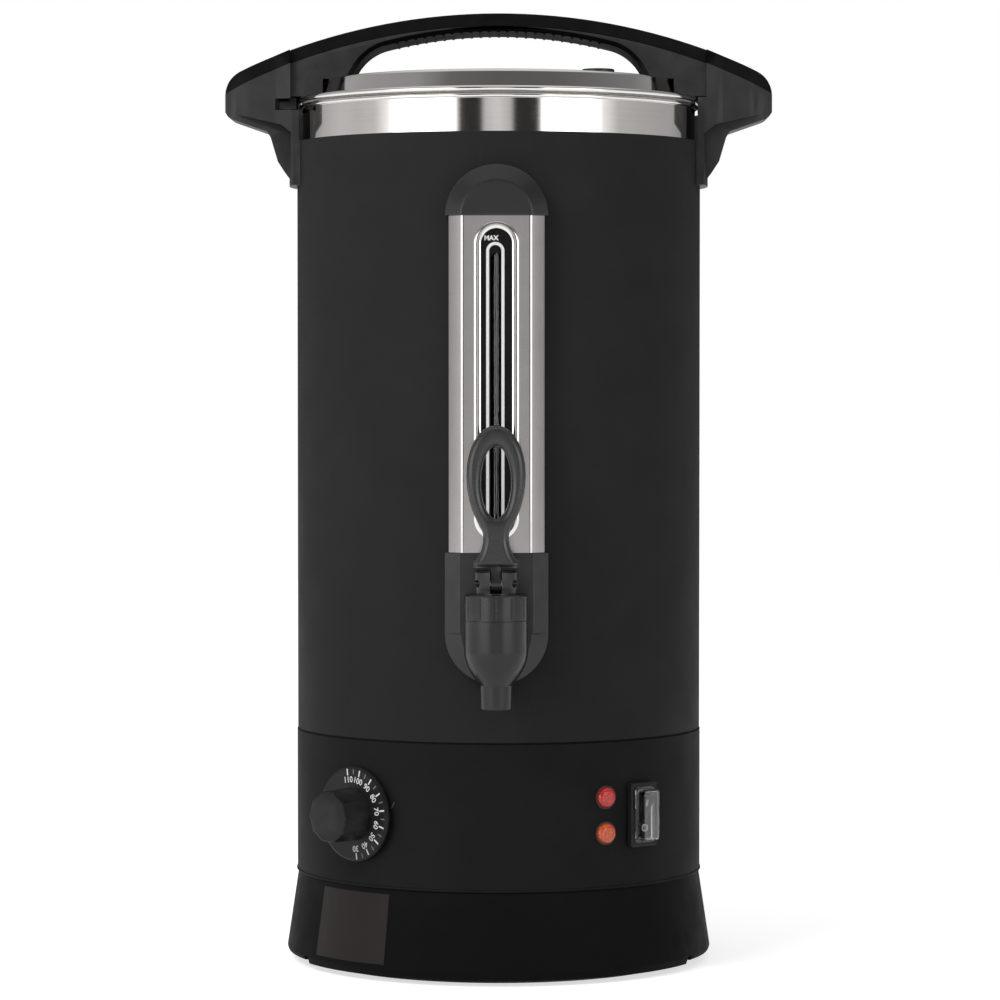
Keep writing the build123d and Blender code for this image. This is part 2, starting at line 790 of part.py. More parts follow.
with BuildPart() as sight_tube:
    with BuildSketch(Plane.XY.offset(glass_low)):
        with Locations((0, -glass_at)):
            Circle(glass_radius)
            Circle(glass_radius - glass_wall, mode=Mode.SUBTRACT)
    extrude(amount=glass_top - glass_low)
save(sight_tube, "sight_tube")

branch_top = glass_low + 5.0
with BuildPart() as tube_seals:
    for low in (glass_top - 4, branch_top):
        with BuildSketch(Plane.XY.offset(low)):
            with Locations((0, -glass_at)):
                Circle(seal_radius)
                Circle(glass_radius, mode=Mode.SUBTRACT)
        extrude(amount=4)
    with BuildSketch(Plane.XY.offset(glass_top)):
        with Locations((0, -glass_at)):
            Circle(seal_radius)
            Circle(glass_radius - glass_wall, mode=Mode.SUBTRACT)
    extrude(amount=2)
save(tube_seals, "tube_seals")

with BuildPart() as tower_screws:
    for x, z in tower_screws_at:
        inside = sqrt(shell_bore**2 - (abs(x) + 3) ** 2) - 0.1
        with BuildSketch(Plane.XZ.offset(inside)):
            with Locations((x, z)):
                Circle(3)
        extrude(amount=-1.8)
        with BuildSketch(Plane.XZ.offset(inside)):
            with Locations((x, z)):
                Circle(1.5)
        extrude(amount=shell_radius + 6.5 - inside)
save(tower_screws, "tower_screws")

# Tap shank: from the tank through the shell and the tower into the tap, with the tube's branch
valve_y = shell_radius + tap_reach
chamber_radius = 13.0
shank_front = valve_y - chamber_radius - 0.5
shank_back = tank_bore - 9.0
with BuildPart() as tap_shank:
    with BuildSketch(Plane.XZ.offset(shank_back)):
        with Locations((0, tap_height)):
            Circle(shank_radius)
    extrude(amount=shank_front - shank_back)
    with BuildSketch(Plane.XY.offset(tap_height)):
        with Locations((0, -glass_at)):
            Circle(seal_radius)
    extrude(amount=branch_top - tap_height)
    with BuildSketch(Plane.XY.offset(tap_height)):
        with Locations((0, -glass_at)):
            Circle(glass_radius - glass_wall)
    extrude(amount=branch_top - tap_height, mode=Mode.SUBTRACT)
    with BuildSketch(Plane.XY.offset(glass_low - 0.2)):
        with Locations((0, -glass_at)):
            Circle(glass_radius + 0.02)
    extrude(amount=branch_top, mode=Mode.SUBTRACT)
    with BuildSketch(Plane.XZ.offset(shank_back)):
        with Locations((0, tap_height)):
            Circle(shank_bore)
    extrude(amount=shank_front - shank_back, mode=Mode.SUBTRACT)
save(tap_shank, "tap_shank")

washer_thickness = 1.5
with BuildPart() as tap_washers:
    with BuildSketch(Plane.XZ.offset(tank_bore - 0.3 - washer_thickness)):
        with Locations((0, tap_height)):
            Circle(13)
            Circle(shank_radius, mode=Mode.SUBTRACT)
    extrude(amount=washer_thickness)
    with BuildSketch(Plane.XY.offset(tap_height - 20)):
        Circle(tank_bore - 0.02)
    extrude(amount=40, mode=Mode.INTERSECT)
    with BuildSketch(Plane.XZ.offset(tower_front + rim_rise / 2)):
        with Locations((0, tap_height)):
            Circle(11)
            Circle(shank_radius, mode=Mode.SUBTRACT)
    extrude(amount=1.2)
save(tap_washers, "tap_washers")

nut_front = tank_bore - 0.3 - washer_thickness
with BuildPart() as tap_nut:
    with BuildSketch(Plane.XZ.offset(nut_front - 6)):
        with Locations((0, tap_height)):
            RegularPolygon(13.5, 6)
            Circle(shank_radius, mode=Mode.SUBTRACT)
    extrude(amount=6)
save(tap_nut, "tap_nut")

# Tap: body with its valve seat and spout, and the bonnet that carries the lever
valve_axis = Axis((0, -valve_y, 0), (0, 0, 1))
valve_plane = Plane.XZ.offset(valve_y)
spout_low = tap_height - spout_drop
body_top = tap_height + 11.0
seat_low = spout_low + 21.0
seat_high = spout_low + 30.0
bonnet_top = body_top + 13.4
neck_top = bonnet_top + 12.8
pivot_height = neck_top - 7.0
pivot_y = valve_y + pivot_offset
neck_low_radius = 10.9
neck_top_radius = 11.7
neck_chamfer = 1.2  # room for the lever's foot as it tips forward

boss_radius = 10.3
boss_back = tower_front + rim_rise / 2 + 1.2

with BuildPart() as tap_body:
    with BuildSketch(valve_plane):
        with BuildLine():
            Polyline(
                (0, spout_low),
                (spout_radius - 0.4, spout_low),
                (spout_radius, spout_low + 12.5),
            )
            Spline(
                (spout_radius, spout_low + 12.5),
                (spout_radius + 4.9, spout_low + 19.5),
                (tap_radius, body_top - 16),
                tangents=[(0.8, 1), (0, 1)],
            )
            Polyline((tap_radius, body_top - 16), (tap_radius, body_top), (0, body_top), (0, spout_low))
        make_face()
    revolve(axis=valve_axis)
    fillet(tap_body.edges().group_by(Axis.Z)[0], 0.6)
    with BuildSketch(Plane.XZ.offset(boss_back)):
        with Locations((0, tap_height)):
            Circle(boss_radius)
    extrude(amount=valve_y - boss_back)
    with BuildSketch(valve_plane):
        with BuildLine():
            Polyline(
                (0, spout_low),
                (spout_bore, spout_low),
                (spout_bore, seat_low),
                (chamber_radius, seat_high),
                (chamber_radius, body_top),
                (0, body_top),
                close=True,
            )
        make_face()
    revolve(axis=valve_axis, mode=Mode.SUBTRACT)
    with BuildSketch(Plane.XZ.offset(tower_front)):
        with Locations((0, tap_height)):
            Circle(shank_radius + 0.02)
    extrude(amount=shank_front - tower_front + 0.2, mode=Mode.SUBTRACT)
    with BuildSketch(Plane.XZ.offset(tower_front)):
        with Locations((0, tap_height)):
            Circle(shank_bore)
    extrude(amount=valve_y - tower_front, mode=Mode.SUBTRACT)
save(tap_body, "tap_body")

cavity_radius = 8.0
cavity_top = neck_top - 1.4
guide_top = body_top + 1.0
plug_low = body_top - 6.0
half_slot = 3.1
slot_length = 23.0
with BuildPart() as tap_bonnet:
    with BuildSketch(valve_plane):
        with BuildLine():
            Polyline(
                (0, plug_low),
                (chamber_radius - 0.02, plug_low),
                (chamber_radius - 0.02, body_top),
                (tap_radius, body_top),
                (tap_radius, bonnet_top - 0.8),
                (tap_radius - 0.8, bonnet_top),
                (neck_low_radius, bonnet_top),
                (neck_low_radius, bonnet_top + 2.0),
                (neck_top_radius, bonnet_top + 5.0),
                (neck_top_radius, neck_top - neck_chamfer),
                (neck_top_radius - neck_chamfer, neck_top),
                (0, neck_top),
                close=True,
            )
        make_face()
    revolve(axis=valve_axis)
    with BuildSketch(Plane.XY.offset(body_top + 1)):
        with Locations((0, -valve_y)), PolarLocations(tap_radius + 0.3, grip_grooves):
            Circle(0.75)
    extrude(amount=bonnet_top - body_top - 2.4, mode=Mode.SUBTRACT)
    with BuildSketch(Plane.XY.offset(guide_top)):
        with Locations((0, -valve_y)):
            Circle(cavity_radius)
    extrude(amount=cavity_top - guide_top, mode=Mode.SUBTRACT)
    with BuildSketch(Plane.XY.offset(body_top - 8)):
        with Locations((0, -valve_y)):
            Circle(stem_radius + running)
    extrude(amount=20, mode=Mode.SUBTRACT)
    with BuildSketch(Plane.YZ):
        with Locations((-valve_y + 3.3 - slot_length / 2, pivot_height + 5)):
            Rectangle(slot_length, 20)
    extrude(amount=half_slot, both=True, mode=Mode.SUBTRACT)
    with BuildSketch(Plane.YZ):
        with Locations((-pivot_y, pivot_height)):
            Circle(pin_radius)
    extrude(amount=tap_radius, both=True, mode=Mode.SUBTRACT)
save(tap_bonnet, "tap_bonnet")

pin_half = sqrt(neck_top_radius**2 - (pivot_offset + pin_radius) ** 2) - 0.3
with BuildPart() as lever_pin:
    with BuildSketch(Plane.YZ):
        with Locations((-pivot_y, pivot_height)):
            Circle(pin_radius)
    extrude(amount=pin_half, both=True)
save(lever_pin, "lever_pin")

# Lever: a loop on a waisted stalk, with a tang that holds the pin and lifts the stem
lever_low = neck_top + 1.4
lever_high = neck_top + 76.0
lever_thickness = 9.0
lever_centre = valve_y + 2.5
loop_half = 15.5
loop_length = 58.0
hole_half = 7.7
hole_length = 37.4
hole_middle = neck_top + 46.1
tang_half = 2.7
with BuildPart() as tap_lever:
    with BuildSketch(Plane.XZ.offset(lever_centre - lever_thickness / 2)) as lever_face:
        with Locations((0, lever_high - loop_length / 2)):
            Ellipse(loop_half, loop_length / 2)
        with BuildLine():
            Polyline(
                (-12.0, lever_low),
                (12.0, lever_low),
                (11.2, lever_low + 8),
                (7.6, lever_low + 24),
                (-7.6, lever_low + 24),
                (-11.2, lever_low + 8),
                close=True,
            )
        make_face()
        fillet(lever_face.vertices().filter_by(lambda v: lever_low + 14 < v.Y < lever_low + 32), 8)
        with Locations((0, hole_middle)):
            Ellipse(hole_half, hole_length / 2, mode=Mode.SUBTRACT)
    extrude(amount=lever_thickness)
    rims = tap_lever.faces().filter_by(Axis.Y).edges()
    chamfer(rims.filter_by(lambda e: e.center().Z > lever_low + 0.1), 1.6)
    with BuildSketch(Plane.YZ):
        with Locations((-pivot_y, pivot_height)):
            Circle(4.2)
        with BuildLine():
            Polyline(
                (-pivot_y, pivot_height - 4.2),
                (-valve_y, pivot_height - 2.9),
                (-valve_y + 2.9, pivot_height),
                (-valve_y + 1.6, lever_low + 6),
                (-pivot_y - 0.4, lever_low + 6),
                (-pivot_y - 4.2, pivot_height),
                close=True,
            )
        make_face()
    extrude(amount=tang_half, both=True)
    with BuildSketch(Plane.YZ):
        with Locations((-valve_y, pivot_height)):
            Circle(cam_radius)
    extrude(amount=4.9, both=True)
    with BuildSketch(Plane.YZ):
        with Locations((-pivot_y, pivot_height)):
            Circle(pin_radius + running)
    extrude(amount=tang_half, both=True, mode=Mode.SUBTRACT)
save(tap_lever, "tap_lever")

with BuildPart() as tap_stem:
    with BuildSketch(Plane.XY.offset(seat_low + 1)):
        with Locations((0, -valve_y)):
            Circle(stem_radius)
    extrude(amount=pivot_height - 12 - seat_low - 1)
    with BuildSketch(Plane.XY.offset(pivot_height - 13)):
        with Locations((0, -valve_y)):
            Rectangle(10, 6.8)
    extrude(amount=13 + 2.4)
    with BuildSketch(Plane.XY.offset(pivot_height - 9)):
        with Locations((0, -valve_y)):
            Rectangle(6.6, 8)
    extrude(amount=20, mode=Mode.SUBTRACT)
    with BuildSketch(Plane.YZ):
        with Locations((-valve_y - 0.4, pivot_height)):
            SlotOverall(4.4, 2 * cam_radius + 0.3)
    extrude(amount=6, both=True, mode=Mode.SUBTRACT)
save(tap_stem, "tap_stem")

seat_slope = (seat_high - seat_low) / (chamber_radius - spout_bore)
cup_clear = 0.3
cup_top = seat_low + 11
with BuildPart() as seat_cup:
    with BuildSketch(valve_plane):
        with BuildLine():
            Polyline(
                (stem_radius, seat_low + 1),
                (spout_bore + 1.0 / seat_slope - cup_clear, seat_low + 1),
                (spout_bore + 5.5 / seat_slope - cup_clear, seat_low + 5.5),
                (spout_bore + 5.5 / seat_slope - cup_clear, seat_low + 7.5),
                (6, cup_top),
                (stem_radius, cup_top),
                close=True,
            )
        make_face()
    revolve(axis=valve_axis)
save(seat_cup, "seat_cup")

spring_wire = 0.5
spring_radius = 4.4
spring_turns = 4
with BuildPart() as tap_spring:
    spring_length = plug_low - cup_top - 2 * spring_wire - 0.2
    with BuildLine() as coil:
        Helix(
            pitch=spring_length / spring_turns,
            height=spring_length,
            radius=spring_radius,
            center=(0, -valve_y, cup_top + spring_wire + 0.1),
        )
    with BuildSketch(Plane(origin=coil.line @ 0, z_dir=coil.line % 0)):
        Circle(spring_wire)
    sweep(path=coil.line, is_frenet=True)
save(tap_spring, "tap_spring")

# Lid: a pressed pan with a rolled edge and a raised crown
with BuildPart() as lid_pan:
    with BuildSketch(Plane.XZ):
        with BuildLine():
            Polyline(
                (0, crown_top + crown_dome),
                (crown_radius * 0.55, crown_top + crown_dome * 0.4),
                (crown_radius * 0.8, crown_top),
                (crown_radius - crown_draft, crown_top),
                (crown_radius, flange_top),
                (lid_radius - lid_bead, flange_top),
                (lid_radius - lid_bead, flange_top - sheet),
                (crown_radius - sheet, flange_top - sheet),
                (crown_radius - crown_draft - sheet, crown_top - sheet),
                (crown_radius * 0.8, crown_top - sheet),
                (crown_radius * 0.55, crown_top + crown_dome * 0.4 - sheet),
                (0, crown_top + crown_dome - sheet),
                close=True,
            )
        make_face()
        with Locations((lid_radius - lid_bead, lid_low + lid_bead)):
            Circle(lid_bead)
    revolve(axis=Axis.Z)
    shoulder = lid_pan.edges().filter_by(GeomType.CIRCLE).filter_by(
        lambda e: abs(e.radius - crown_radius + crown_draft) < 0.01 and e.center().Z > crown_top - 0.1
    )
    fillet(shoulder, 2.6)
    lid_screws_at = [(side * (crown_radius - 10), y) for side in (-1, 1) for y in (-12, 12)]
    vent_at = (55.0, -36.0)
    with BuildSketch(Plane.XY.offset(crown_top - 5)):
        with Locations(*lid_screws_at):
            Circle(2.1)
        with Locations(vent_at):
            Circle(5.1)
    extrude(amount=12, mode=Mode.SUBTRACT)
save(lid_pan, "lid_pan")

ring_radius = tank_bore - 0.9
with BuildPart() as lid_inner_ring:
    with BuildSketch(Plane.XZ):
        half_section(ring_radius - 0.6, ring_radius, flange_top - sheet - 11, flange_top - sheet)
        half_section(crown_radius + 1, ring_radius, flange_top - sheet - 0.6, flange_top - sheet)
    revolve(axis=Axis.Z)
save(lid_inner_ring, "lid_inner_ring")

with BuildPart() as lid_seal:
    with BuildSketch(Plane.XZ):
        half_section(
            ring_radius + 0.3, lid_radius - 2 * lid_bead - 0.3, bead_top + 0.05, flange_top - sheet - 0.05
        )
    revolve(axis=Axis.Z)
save(lid_seal, "lid_seal")

with BuildPart() as steam_vent_cap:
    with BuildSketch(Plane.XY.offset(crown_top + crown_dome)):
        with Locations(vent_at):
            Circle(9)
    extrude(amount=3.0)
    fillet(steam_vent_cap.edges().group_by(Axis.Z)[-1], 0.8)
    with BuildSketch(Plane.XY.offset(crown_top - 3)):
        with Locations(vent_at):
            Circle(5)
    extrude(amount=3 + crown_dome)
    with BuildSketch(Plane.XY.offset(crown_top - 3)):
        with Locations(vent_at):
            Circle(3)
    extrude(amount=4 + crown_dome, mode=Mode.SUBTRACT)
    with BuildSketch(Plane.XY.offset(crown_top + crown_dome + 0.8)):
        with Locations(vent_at):
            Rectangle(20, 2)
    extrude(amount=1.1, mode=Mode.SUBTRACT)
save(steam_vent_cap, "steam_vent_cap")

# Lid handle: an arched strap on two feet, with a hook and a tongue at each end
strap_low = flange_top + 0.2
opening_half = shell_radius - opening_inset
under_radius = (opening_half**2 + opening_drop**2) / (2 * opening_drop)
under_top = crest - grip_thickness
corner_height = under_top - opening_drop
foot_spread = (corner_height - crown_top + 4) / tan(radians(opening_slope))
hook_low = strap_low - hook_drop
hook_inner = lid_radius + 0.9
tongue_middle = (tongue_front + tongue_back) / 2
tongue_width = tongue_front - tongue_back
tongue_play = 0.35

with BuildPart() as handle_blank:
    with BuildSketch(Plane.XZ):
        with Locations((0, arc_centre)):
            Circle(arc_radius)
        with Locations((0, (strap_low + crest) / 2)):
            Rectangle(2 * handle_radius, crest - strap_low, mode=Mode.INTERSECT)
    extrude(amount=strap_width / 2, both=True)
    with BuildSketch(Plane.XZ) as opening:
        with Locations((0, under_top - under_radius)):
            Circle(under_radius)
        Polygon(
            (-opening_half - foot_spread, crown_top - 4),
            (opening_half + foot_spread, crown_top - 4),
            (opening_half, corner_height),
            (opening_half - 8, crest),
            (-opening_half + 8, crest),
            (-opening_half, corner_height),
            align=None,
            mode=Mode.INTERSECT,
        )
        corners = opening.vertices().filter_by(lambda v: corner_height - 1 < v.Y < corner_height + 6)
        fillet(corners, opening_corner)
    extrude(amount=strap_width, both=True, mode=Mode.SUBTRACT)
    mouth = handle_blank.faces().filter_by(Axis.Y).edges()
    mouth = mouth.filter_by(lambda e: crown_top < e.center().Z < under_top + 1)
    chamfer(mouth.filter_by(lambda e: abs(e.center().X) < handle_radius - 12), 2.2)
    with BuildSketch(Plane.XY.offset(strap_low)):
        Circle(handle_radius)
    extrude(amount=crest - strap_low, mode=Mode.INTERSECT)
    with BuildSketch(Plane.XY.offset(strap_low)):
        Circle(crown_radius + 0.3)
    extrude(amount=crown_top - strap_low, mode=Mode.SUBTRACT)
    for index in range(rib_count):
        x = (index - (rib_count - 1) / 2) * rib_pitch
        rise = sqrt(under_radius**2 - x**2) - under_radius
        with BuildSketch(Plane.XZ):
            with Locations((x, under_top + rise + 0.2)):
                Circle(rib_radius)
        extrude(amount=strap_width / 2 - 4, both=True)
    with BuildSketch(Plane.XY.offset(crown_top)):
        with Locations(*lid_screws_at):
            Circle(2.0)
    extrude(amount=10.5, mode=Mode.SUBTRACT)


def inside_arc(depth):
    """Draws the disc of the handles' arc, shrunk by a depth."""
    with Locations((0, arc_centre)):
        Circle(arc_radius - depth)


with BuildPart() as lid_handle:
    add(handle_blank.part)
    with BuildSketch(Plane.XZ):
        inside_arc(cover_depth)
    extrude(amount=strap_width, both=True, mode=Mode.INTERSECT)
    for side in (-1, 1):
        for inner, outer, top in (
            (hook_inner, handle_radius, strap_low),
            (handle_radius, handle_radius + tongue_reach, hook_low + tongue_height),
        ):
            with BuildSketch(Plane.XY.offset(hook_low)):
                Circle(outer)
                Circle(inner, mode=Mode.SUBTRACT)
                with Locations((side * outer, side * tongue_middle)):
                    Rectangle(40, tongue_width, mode=Mode.INTERSECT)
            extrude(amount=top - hook_low)
save(lid_handle, "lid_handle")

with BuildPart() as lid_handle_cover:
    add(handle_blank.part)
    with BuildSketch(Plane.XZ):
        inside_arc(cover_depth)
    extrude(amount=strap_width, both=True, mode=Mode.SUBTRACT)
save(lid_handle_cover, "lid_handle_cover")

with BuildPart() as lid_handle_screws:
    with BuildSketch(Plane.XY.offset(crown_top - sheet)):
        with Locations(*lid_screws_at):
            Circle(4)
    extrude(amount=-2.1)
    with BuildSketch(Plane.XY.offset(crown_top - sheet)):
        with Locations(*lid_screws_at):
            Circle(2)
    extrude(amount=10.5 + sheet)
save(lid_handle_screws, "lid_handle_screws")

# Side handles: a wing that carries on the arc of the lid's handle, on a bracket with a web.
# A lid tongue drops into the wing's channel and turns into the pocket beside it.
wing_half = 27.0
web_half = 18.0
shelf = hook_low - 0.6
ledge_top = hook_low + hook_drop - 0.6  # a ledge beside the pocket, under the lid's handle
web_low = shell_top - bracket_drop
pad_reach = 4.3
channel_outer = handle_radius + tongue_reach + tongue_play
pocket_end = 9.7

with BuildPart() as wing:
    with BuildSketch(Plane.XZ) as block_face:
        inside_arc(0)
        Polygon(
            (shell_radius - 20, shell_top + 3.8),
            (shell_radius + 1.1, shell_top + 3.8),
            (shell_radius + 7.7, shell_top + 9.1),
            (tip, shell_top + 16.4),
            (tip, crest),
            (shell_radius - 20, crest),
            align=None,
            mode=Mode.INTERSECT,
        )
        ends = block_face.vertices().filter_by(lambda v: v.X > tip - 0.1)
        fillet(ends.sort_by(Axis.Y)[-1], 15)
        fillet(ends.sort_by(Axis.Y)[0], 5)
    extrude(amount=wing_half, both=True)
    with BuildSketch(Plane.XZ) as web_face:
        Polygon(
            (shell_radius - 4, web_low),
            (shell_radius + 0.4, web_low),
            (shell_radius + 5.5, web_low + 6.6),
            (shell_radius + 9.9, web_low + 13.3),
            (shell_radius + 13.8, web_low + 26.6),
            (shell_radius + 15.8, web_low + 30),
            (tip, shell_top + 13.8),
            (tip, shell_top + 26),
            (shell_radius - 4, shell_top + 26),
            align=None,
        )
        bends = web_face.vertices()
        fillet(bends.filter_by(lambda v: v.X > tip - 0.1 and v.Y < shell_top + 20), 7)
        fillet(bends.filter_by(lambda v: abs(v.Y - web_low - 30) < 0.1), 4)
        fillet(bends.filter_by(lambda v: abs(v.Y - web_low - 13.3) < 0.1), 12)
    extrude(amount=web_half, both=True)
    with BuildSketch(Plane.XY.offset(web_low)):
        Circle(shell_radius + pad_reach)
        with Locations((shell_radius, 0)):
            Rectangle(30, 2 * wing_half, mode=Mode.INTERSECT)
    extrude(amount=shell_top + 12 - web_low)
    with BuildSketch(Plane.XY.offset(web_low)) as plan:
        Polygon(
            (shell_radius - 20, -wing_half),
            (shell_radius + 1.5, -wing_half),
            (shell_radius + 11.5, -22.5),
            (shell_radius + 27.5, -21),
            (tip, -14),
            (tip, 14),
            (shell_radius + 27.5, 21),
            (shell_radius + 11.5, 22.5),
            (shell_radius + 1.5, wing_half),
            (shell_radius - 20, wing_half),
            align=None,
        )
        fillet(plan.vertices().filter_by(lambda v: v.X > tip - 0.1), 8)
        fillet(plan.vertices().filter_by(lambda v: abs(v.X - shell_radius - 27.5) < 0.1), 15)
        fillet(plan.vertices().filter_by(lambda v: abs(v.X - shell_radius - 11.5) < 0.1), 10)
        fillet(plan.vertices().filter_by(lambda v: abs(v.X - shell_radius - 1.5) < 0.1), 6)
    extrude(amount=crest - web_low, mode=Mode.INTERSECT)
    for radius, low, high in (
        (shell_clear, web_low, shell_top + 0.2),
        (lid_radius + 0.7, shell_top + 0.2, ledge_top),
        (wing_radius, ledge_top, crest),
    ):
        with BuildSketch(Plane.XY.offset(low)):
            Circle(radius)
        extrude(amount=high - low, mode=Mode.SUBTRACT)
    with BuildSketch(Plane.XY.offset(shelf)):
        Circle(wing_radius)
        with Locations((shell_radius, (wing_half - pocket_end) / 2)):
            Rectangle(30, wing_half + pocket_end, mode=Mode.INTERSECT)
    extrude(amount=ledge_top - shelf, mode=Mode.SUBTRACT)
    with BuildSketch(Plane.XY.offset(shelf)):
        Circle(channel_outer)
        with Locations((shell_radius, tongue_middle)):
            Rectangle(30, tongue_width + 2 * tongue_play, mode=Mode.INTERSECT)
    extrude(amount=crest - shelf, mode=Mode.SUBTRACT)
    with BuildSketch(Plane.XY.offset(shelf)):
        Circle(channel_outer)
        with Locations((shell_radius, (tongue_back - pocket_end) / 2)):
            Rectangle(30, tongue_back + pocket_end, mode=Mode.INTERSECT)
    extrude(amount=tongue_height + 0.6 + 0.3, mode=Mode.SUBTRACT)
    with BuildSketch(Plane.XZ.offset(-tongue_front)):
        with Locations((channel_outer - 6, shelf + 3.4)):
            Rectangle(12, 6.4)
    extrude(amount=-wing_half, mode=Mode.SUBTRACT)
    for angle, height in bracket_screws[2:]:
        with BuildSketch(wall_plane(angle, height, shell_radius - 4)):
            Circle(2.0)
        extrude(amount=9.5, mode=Mode.SUBTRACT)

for label, turn in (("side_handle_right", 0), ("side_handle_left", 180)):
    with BuildPart() as side_handle:
        add(wing.part, rotation=(0, 0, turn))
        with BuildSketch(Plane.XZ):
            inside_arc(cover_depth)
        extrude(amount=2 * wing_half, both=True, mode=Mode.INTERSECT)
    save(side_handle, label)

with BuildPart() as side_handle_covers:
    for turn in (0, 180):
        add(wing.part, rotation=(0, 0, turn))
    with BuildSketch(Plane.XZ):
        inside_arc(cover_depth)
    extrude(amount=2 * wing_half, both=True, mode=Mode.SUBTRACT)
save(side_handle_covers, "side_handle_covers")

with BuildPart() as side_handle_screws:
    for angle, height in bracket_screws:
        with BuildSketch(wall_plane(angle, height, shell_bore - 0.1)):
            Circle(3.6)
        extrude(amount=-2.2)
        with BuildSketch(wall_plane(angle, height, shell_bore - 0.1)):
            Circle(2.0)
        extrude(amount=shell_radius + 5.5 - shell_bore + 0.1)
save(side_handle_screws, "side_handle_screws")

# Wires of the base, each ending on a tab or in a hole of the terminal block
block_top = plate_top + block_height
tab_end = tab_length + 0.05
element_tab = element_height - leg_drop - tab_end
cutout_tab = heater_top - heater_thickness - cutout_height - tab_end
leg_x = element_radius * sin(radians(leg_turn))
leg_y = element_radius * cos(radians(leg_turn))


def wire(label, routes):
    """Sweeps one or more insulated wires along their corner points."""
    with BuildPart() as run:
        for points in routes:
            with BuildLine() as route:
                FilletPolyline(*points, radius=5)
            with BuildSketch(Plane(origin=route.line @ 0, z_dir=route.line % 0)):
                Circle(wire_radius)
            sweep(path=route.line)
    save(run, label)


def on_switch(y, depth):
    """A point behind one of the switch's tabs, y up the panel."""
    return tuple(switch_plane.from_local_coords((0, y, frame_low - switch_depth - depth)))


def on_thermostat(x, depth):
    """A point behind one of the thermostat's tabs, x across the panel."""
    return tuple(dial_plane.from_local_coords((x, 10, thermostat_back - thermostat_depth - depth)))


def in_block(x, y):
    """The two lowest points of a wire that goes down into the terminal block."""
    return (x, block_y + y, block_top - 5.5), (x, block_y + y, block_top + 16)


wire(
    "switch_wires",
    [
        [*in_block(14, -4.5), (62, 12, 52), on_switch(-8, 26), on_switch(-8, tab_end)],
        [on_switch(8, tab_end), on_switch(8, 26), on_thermostat(8, 26), on_thermostat(8, tab_end)],
    ],
)
wire(
    "heater_wires",
    [
        [on_thermostat(-8, tab_end), on_thermostat(-8, 22), (-4.5, -30, 104), (-4.5, -30, cutout_tab)],
        [(4.5, -30, cutout_tab), (4.5, -30, 104), (-leg_x, leg_y, 92), (-leg_x, leg_y, element_tab)],
    ],
)
wire("neutral_wire", [[(leg_x, leg_y, element_tab), (leg_x, leg_y, 84), *in_block(0, -4.5)[::-1]]])
wire("earth_wire", [[*in_block(14, 4.5), (30, 26.5, 74), (30, 26.5, heater_top - heater_thickness - 0.05)]])
lamp_backs = [[tuple(plane.from_local_coords((0, 0, z))) for z in (-15.9, -32)] for plane in lamp_planes]
wire(
    "lamp_wires",
    [
        [*lamp_backs[0], (34, -8, 76), *in_block(-14, -4.5)[::-1]],
        [*lamp_backs[1], (22, 2, 58), *in_block(-14, 4.5)[::-1]],
    ],
)
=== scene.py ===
# Hot water urn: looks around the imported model.
# Shapes are built in millimetres and scaled to metres when a piece is made.
import json
from math import atan2, cos, degrees, pi, radians, sin

import bmesh
import bpy
from mathutils import Matrix, Vector
from mathutils.bvhtree import BVHTree

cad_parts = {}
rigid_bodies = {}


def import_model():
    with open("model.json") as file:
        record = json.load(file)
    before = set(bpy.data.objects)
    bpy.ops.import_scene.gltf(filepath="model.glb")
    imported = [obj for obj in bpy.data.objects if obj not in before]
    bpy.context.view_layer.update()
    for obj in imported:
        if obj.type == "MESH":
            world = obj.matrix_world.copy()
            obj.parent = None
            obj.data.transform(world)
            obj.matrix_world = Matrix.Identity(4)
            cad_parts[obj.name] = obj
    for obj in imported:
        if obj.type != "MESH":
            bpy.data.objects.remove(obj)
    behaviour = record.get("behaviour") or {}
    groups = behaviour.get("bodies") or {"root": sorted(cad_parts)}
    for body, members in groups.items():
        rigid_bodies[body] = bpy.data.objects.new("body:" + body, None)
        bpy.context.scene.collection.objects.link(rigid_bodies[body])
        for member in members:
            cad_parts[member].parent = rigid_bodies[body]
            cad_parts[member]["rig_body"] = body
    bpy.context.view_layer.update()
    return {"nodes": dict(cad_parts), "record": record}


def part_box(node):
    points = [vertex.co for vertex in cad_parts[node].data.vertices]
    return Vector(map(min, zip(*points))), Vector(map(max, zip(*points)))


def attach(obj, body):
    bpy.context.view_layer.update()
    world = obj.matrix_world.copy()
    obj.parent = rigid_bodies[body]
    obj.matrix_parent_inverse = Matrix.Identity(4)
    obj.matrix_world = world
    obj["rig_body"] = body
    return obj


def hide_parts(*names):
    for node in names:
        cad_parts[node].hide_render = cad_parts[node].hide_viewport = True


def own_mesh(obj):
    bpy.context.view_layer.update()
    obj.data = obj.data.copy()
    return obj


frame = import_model()
nodes = frame["nodes"]
scene = bpy.context.scene
mm = 0.001
print("frame loaded:", len(nodes), "nodes")


def boxOf(node):
    low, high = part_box(node)
    return low / mm, high / mm


def middleOf(node):
    low, high = boxOf(node)
    return (low + high) / 2


# Levels and radii that several pieces share
shellRadius, shellTop = boxOf("outer_shell")[1].x, boxOf("outer_shell")[1].z
bandRadius = boxOf("control_band")[1].x
towerFront = boxOf("tower_cover")[0].y
panelHeight = middleOf("dial_skirt").z


# Shader node groups that several finishes use, and short calls for making nodes
def newGroup(name, inputs, outputs):
    group = bpy.data.node_groups.new(name, "ShaderNodeTree")
    for label, default in inputs:
        socket = group.interface.new_socket(label, in_out="INPUT", socket_type="NodeSocketFloat")
        socket.default_value = default
    for label in outputs:
        group.interface.new_socket(label, in_out="OUTPUT", socket_type="NodeSocketFloat")
    return group, group.nodes.new("NodeGroupInput"), group.nodes.new("NodeGroupOutput")


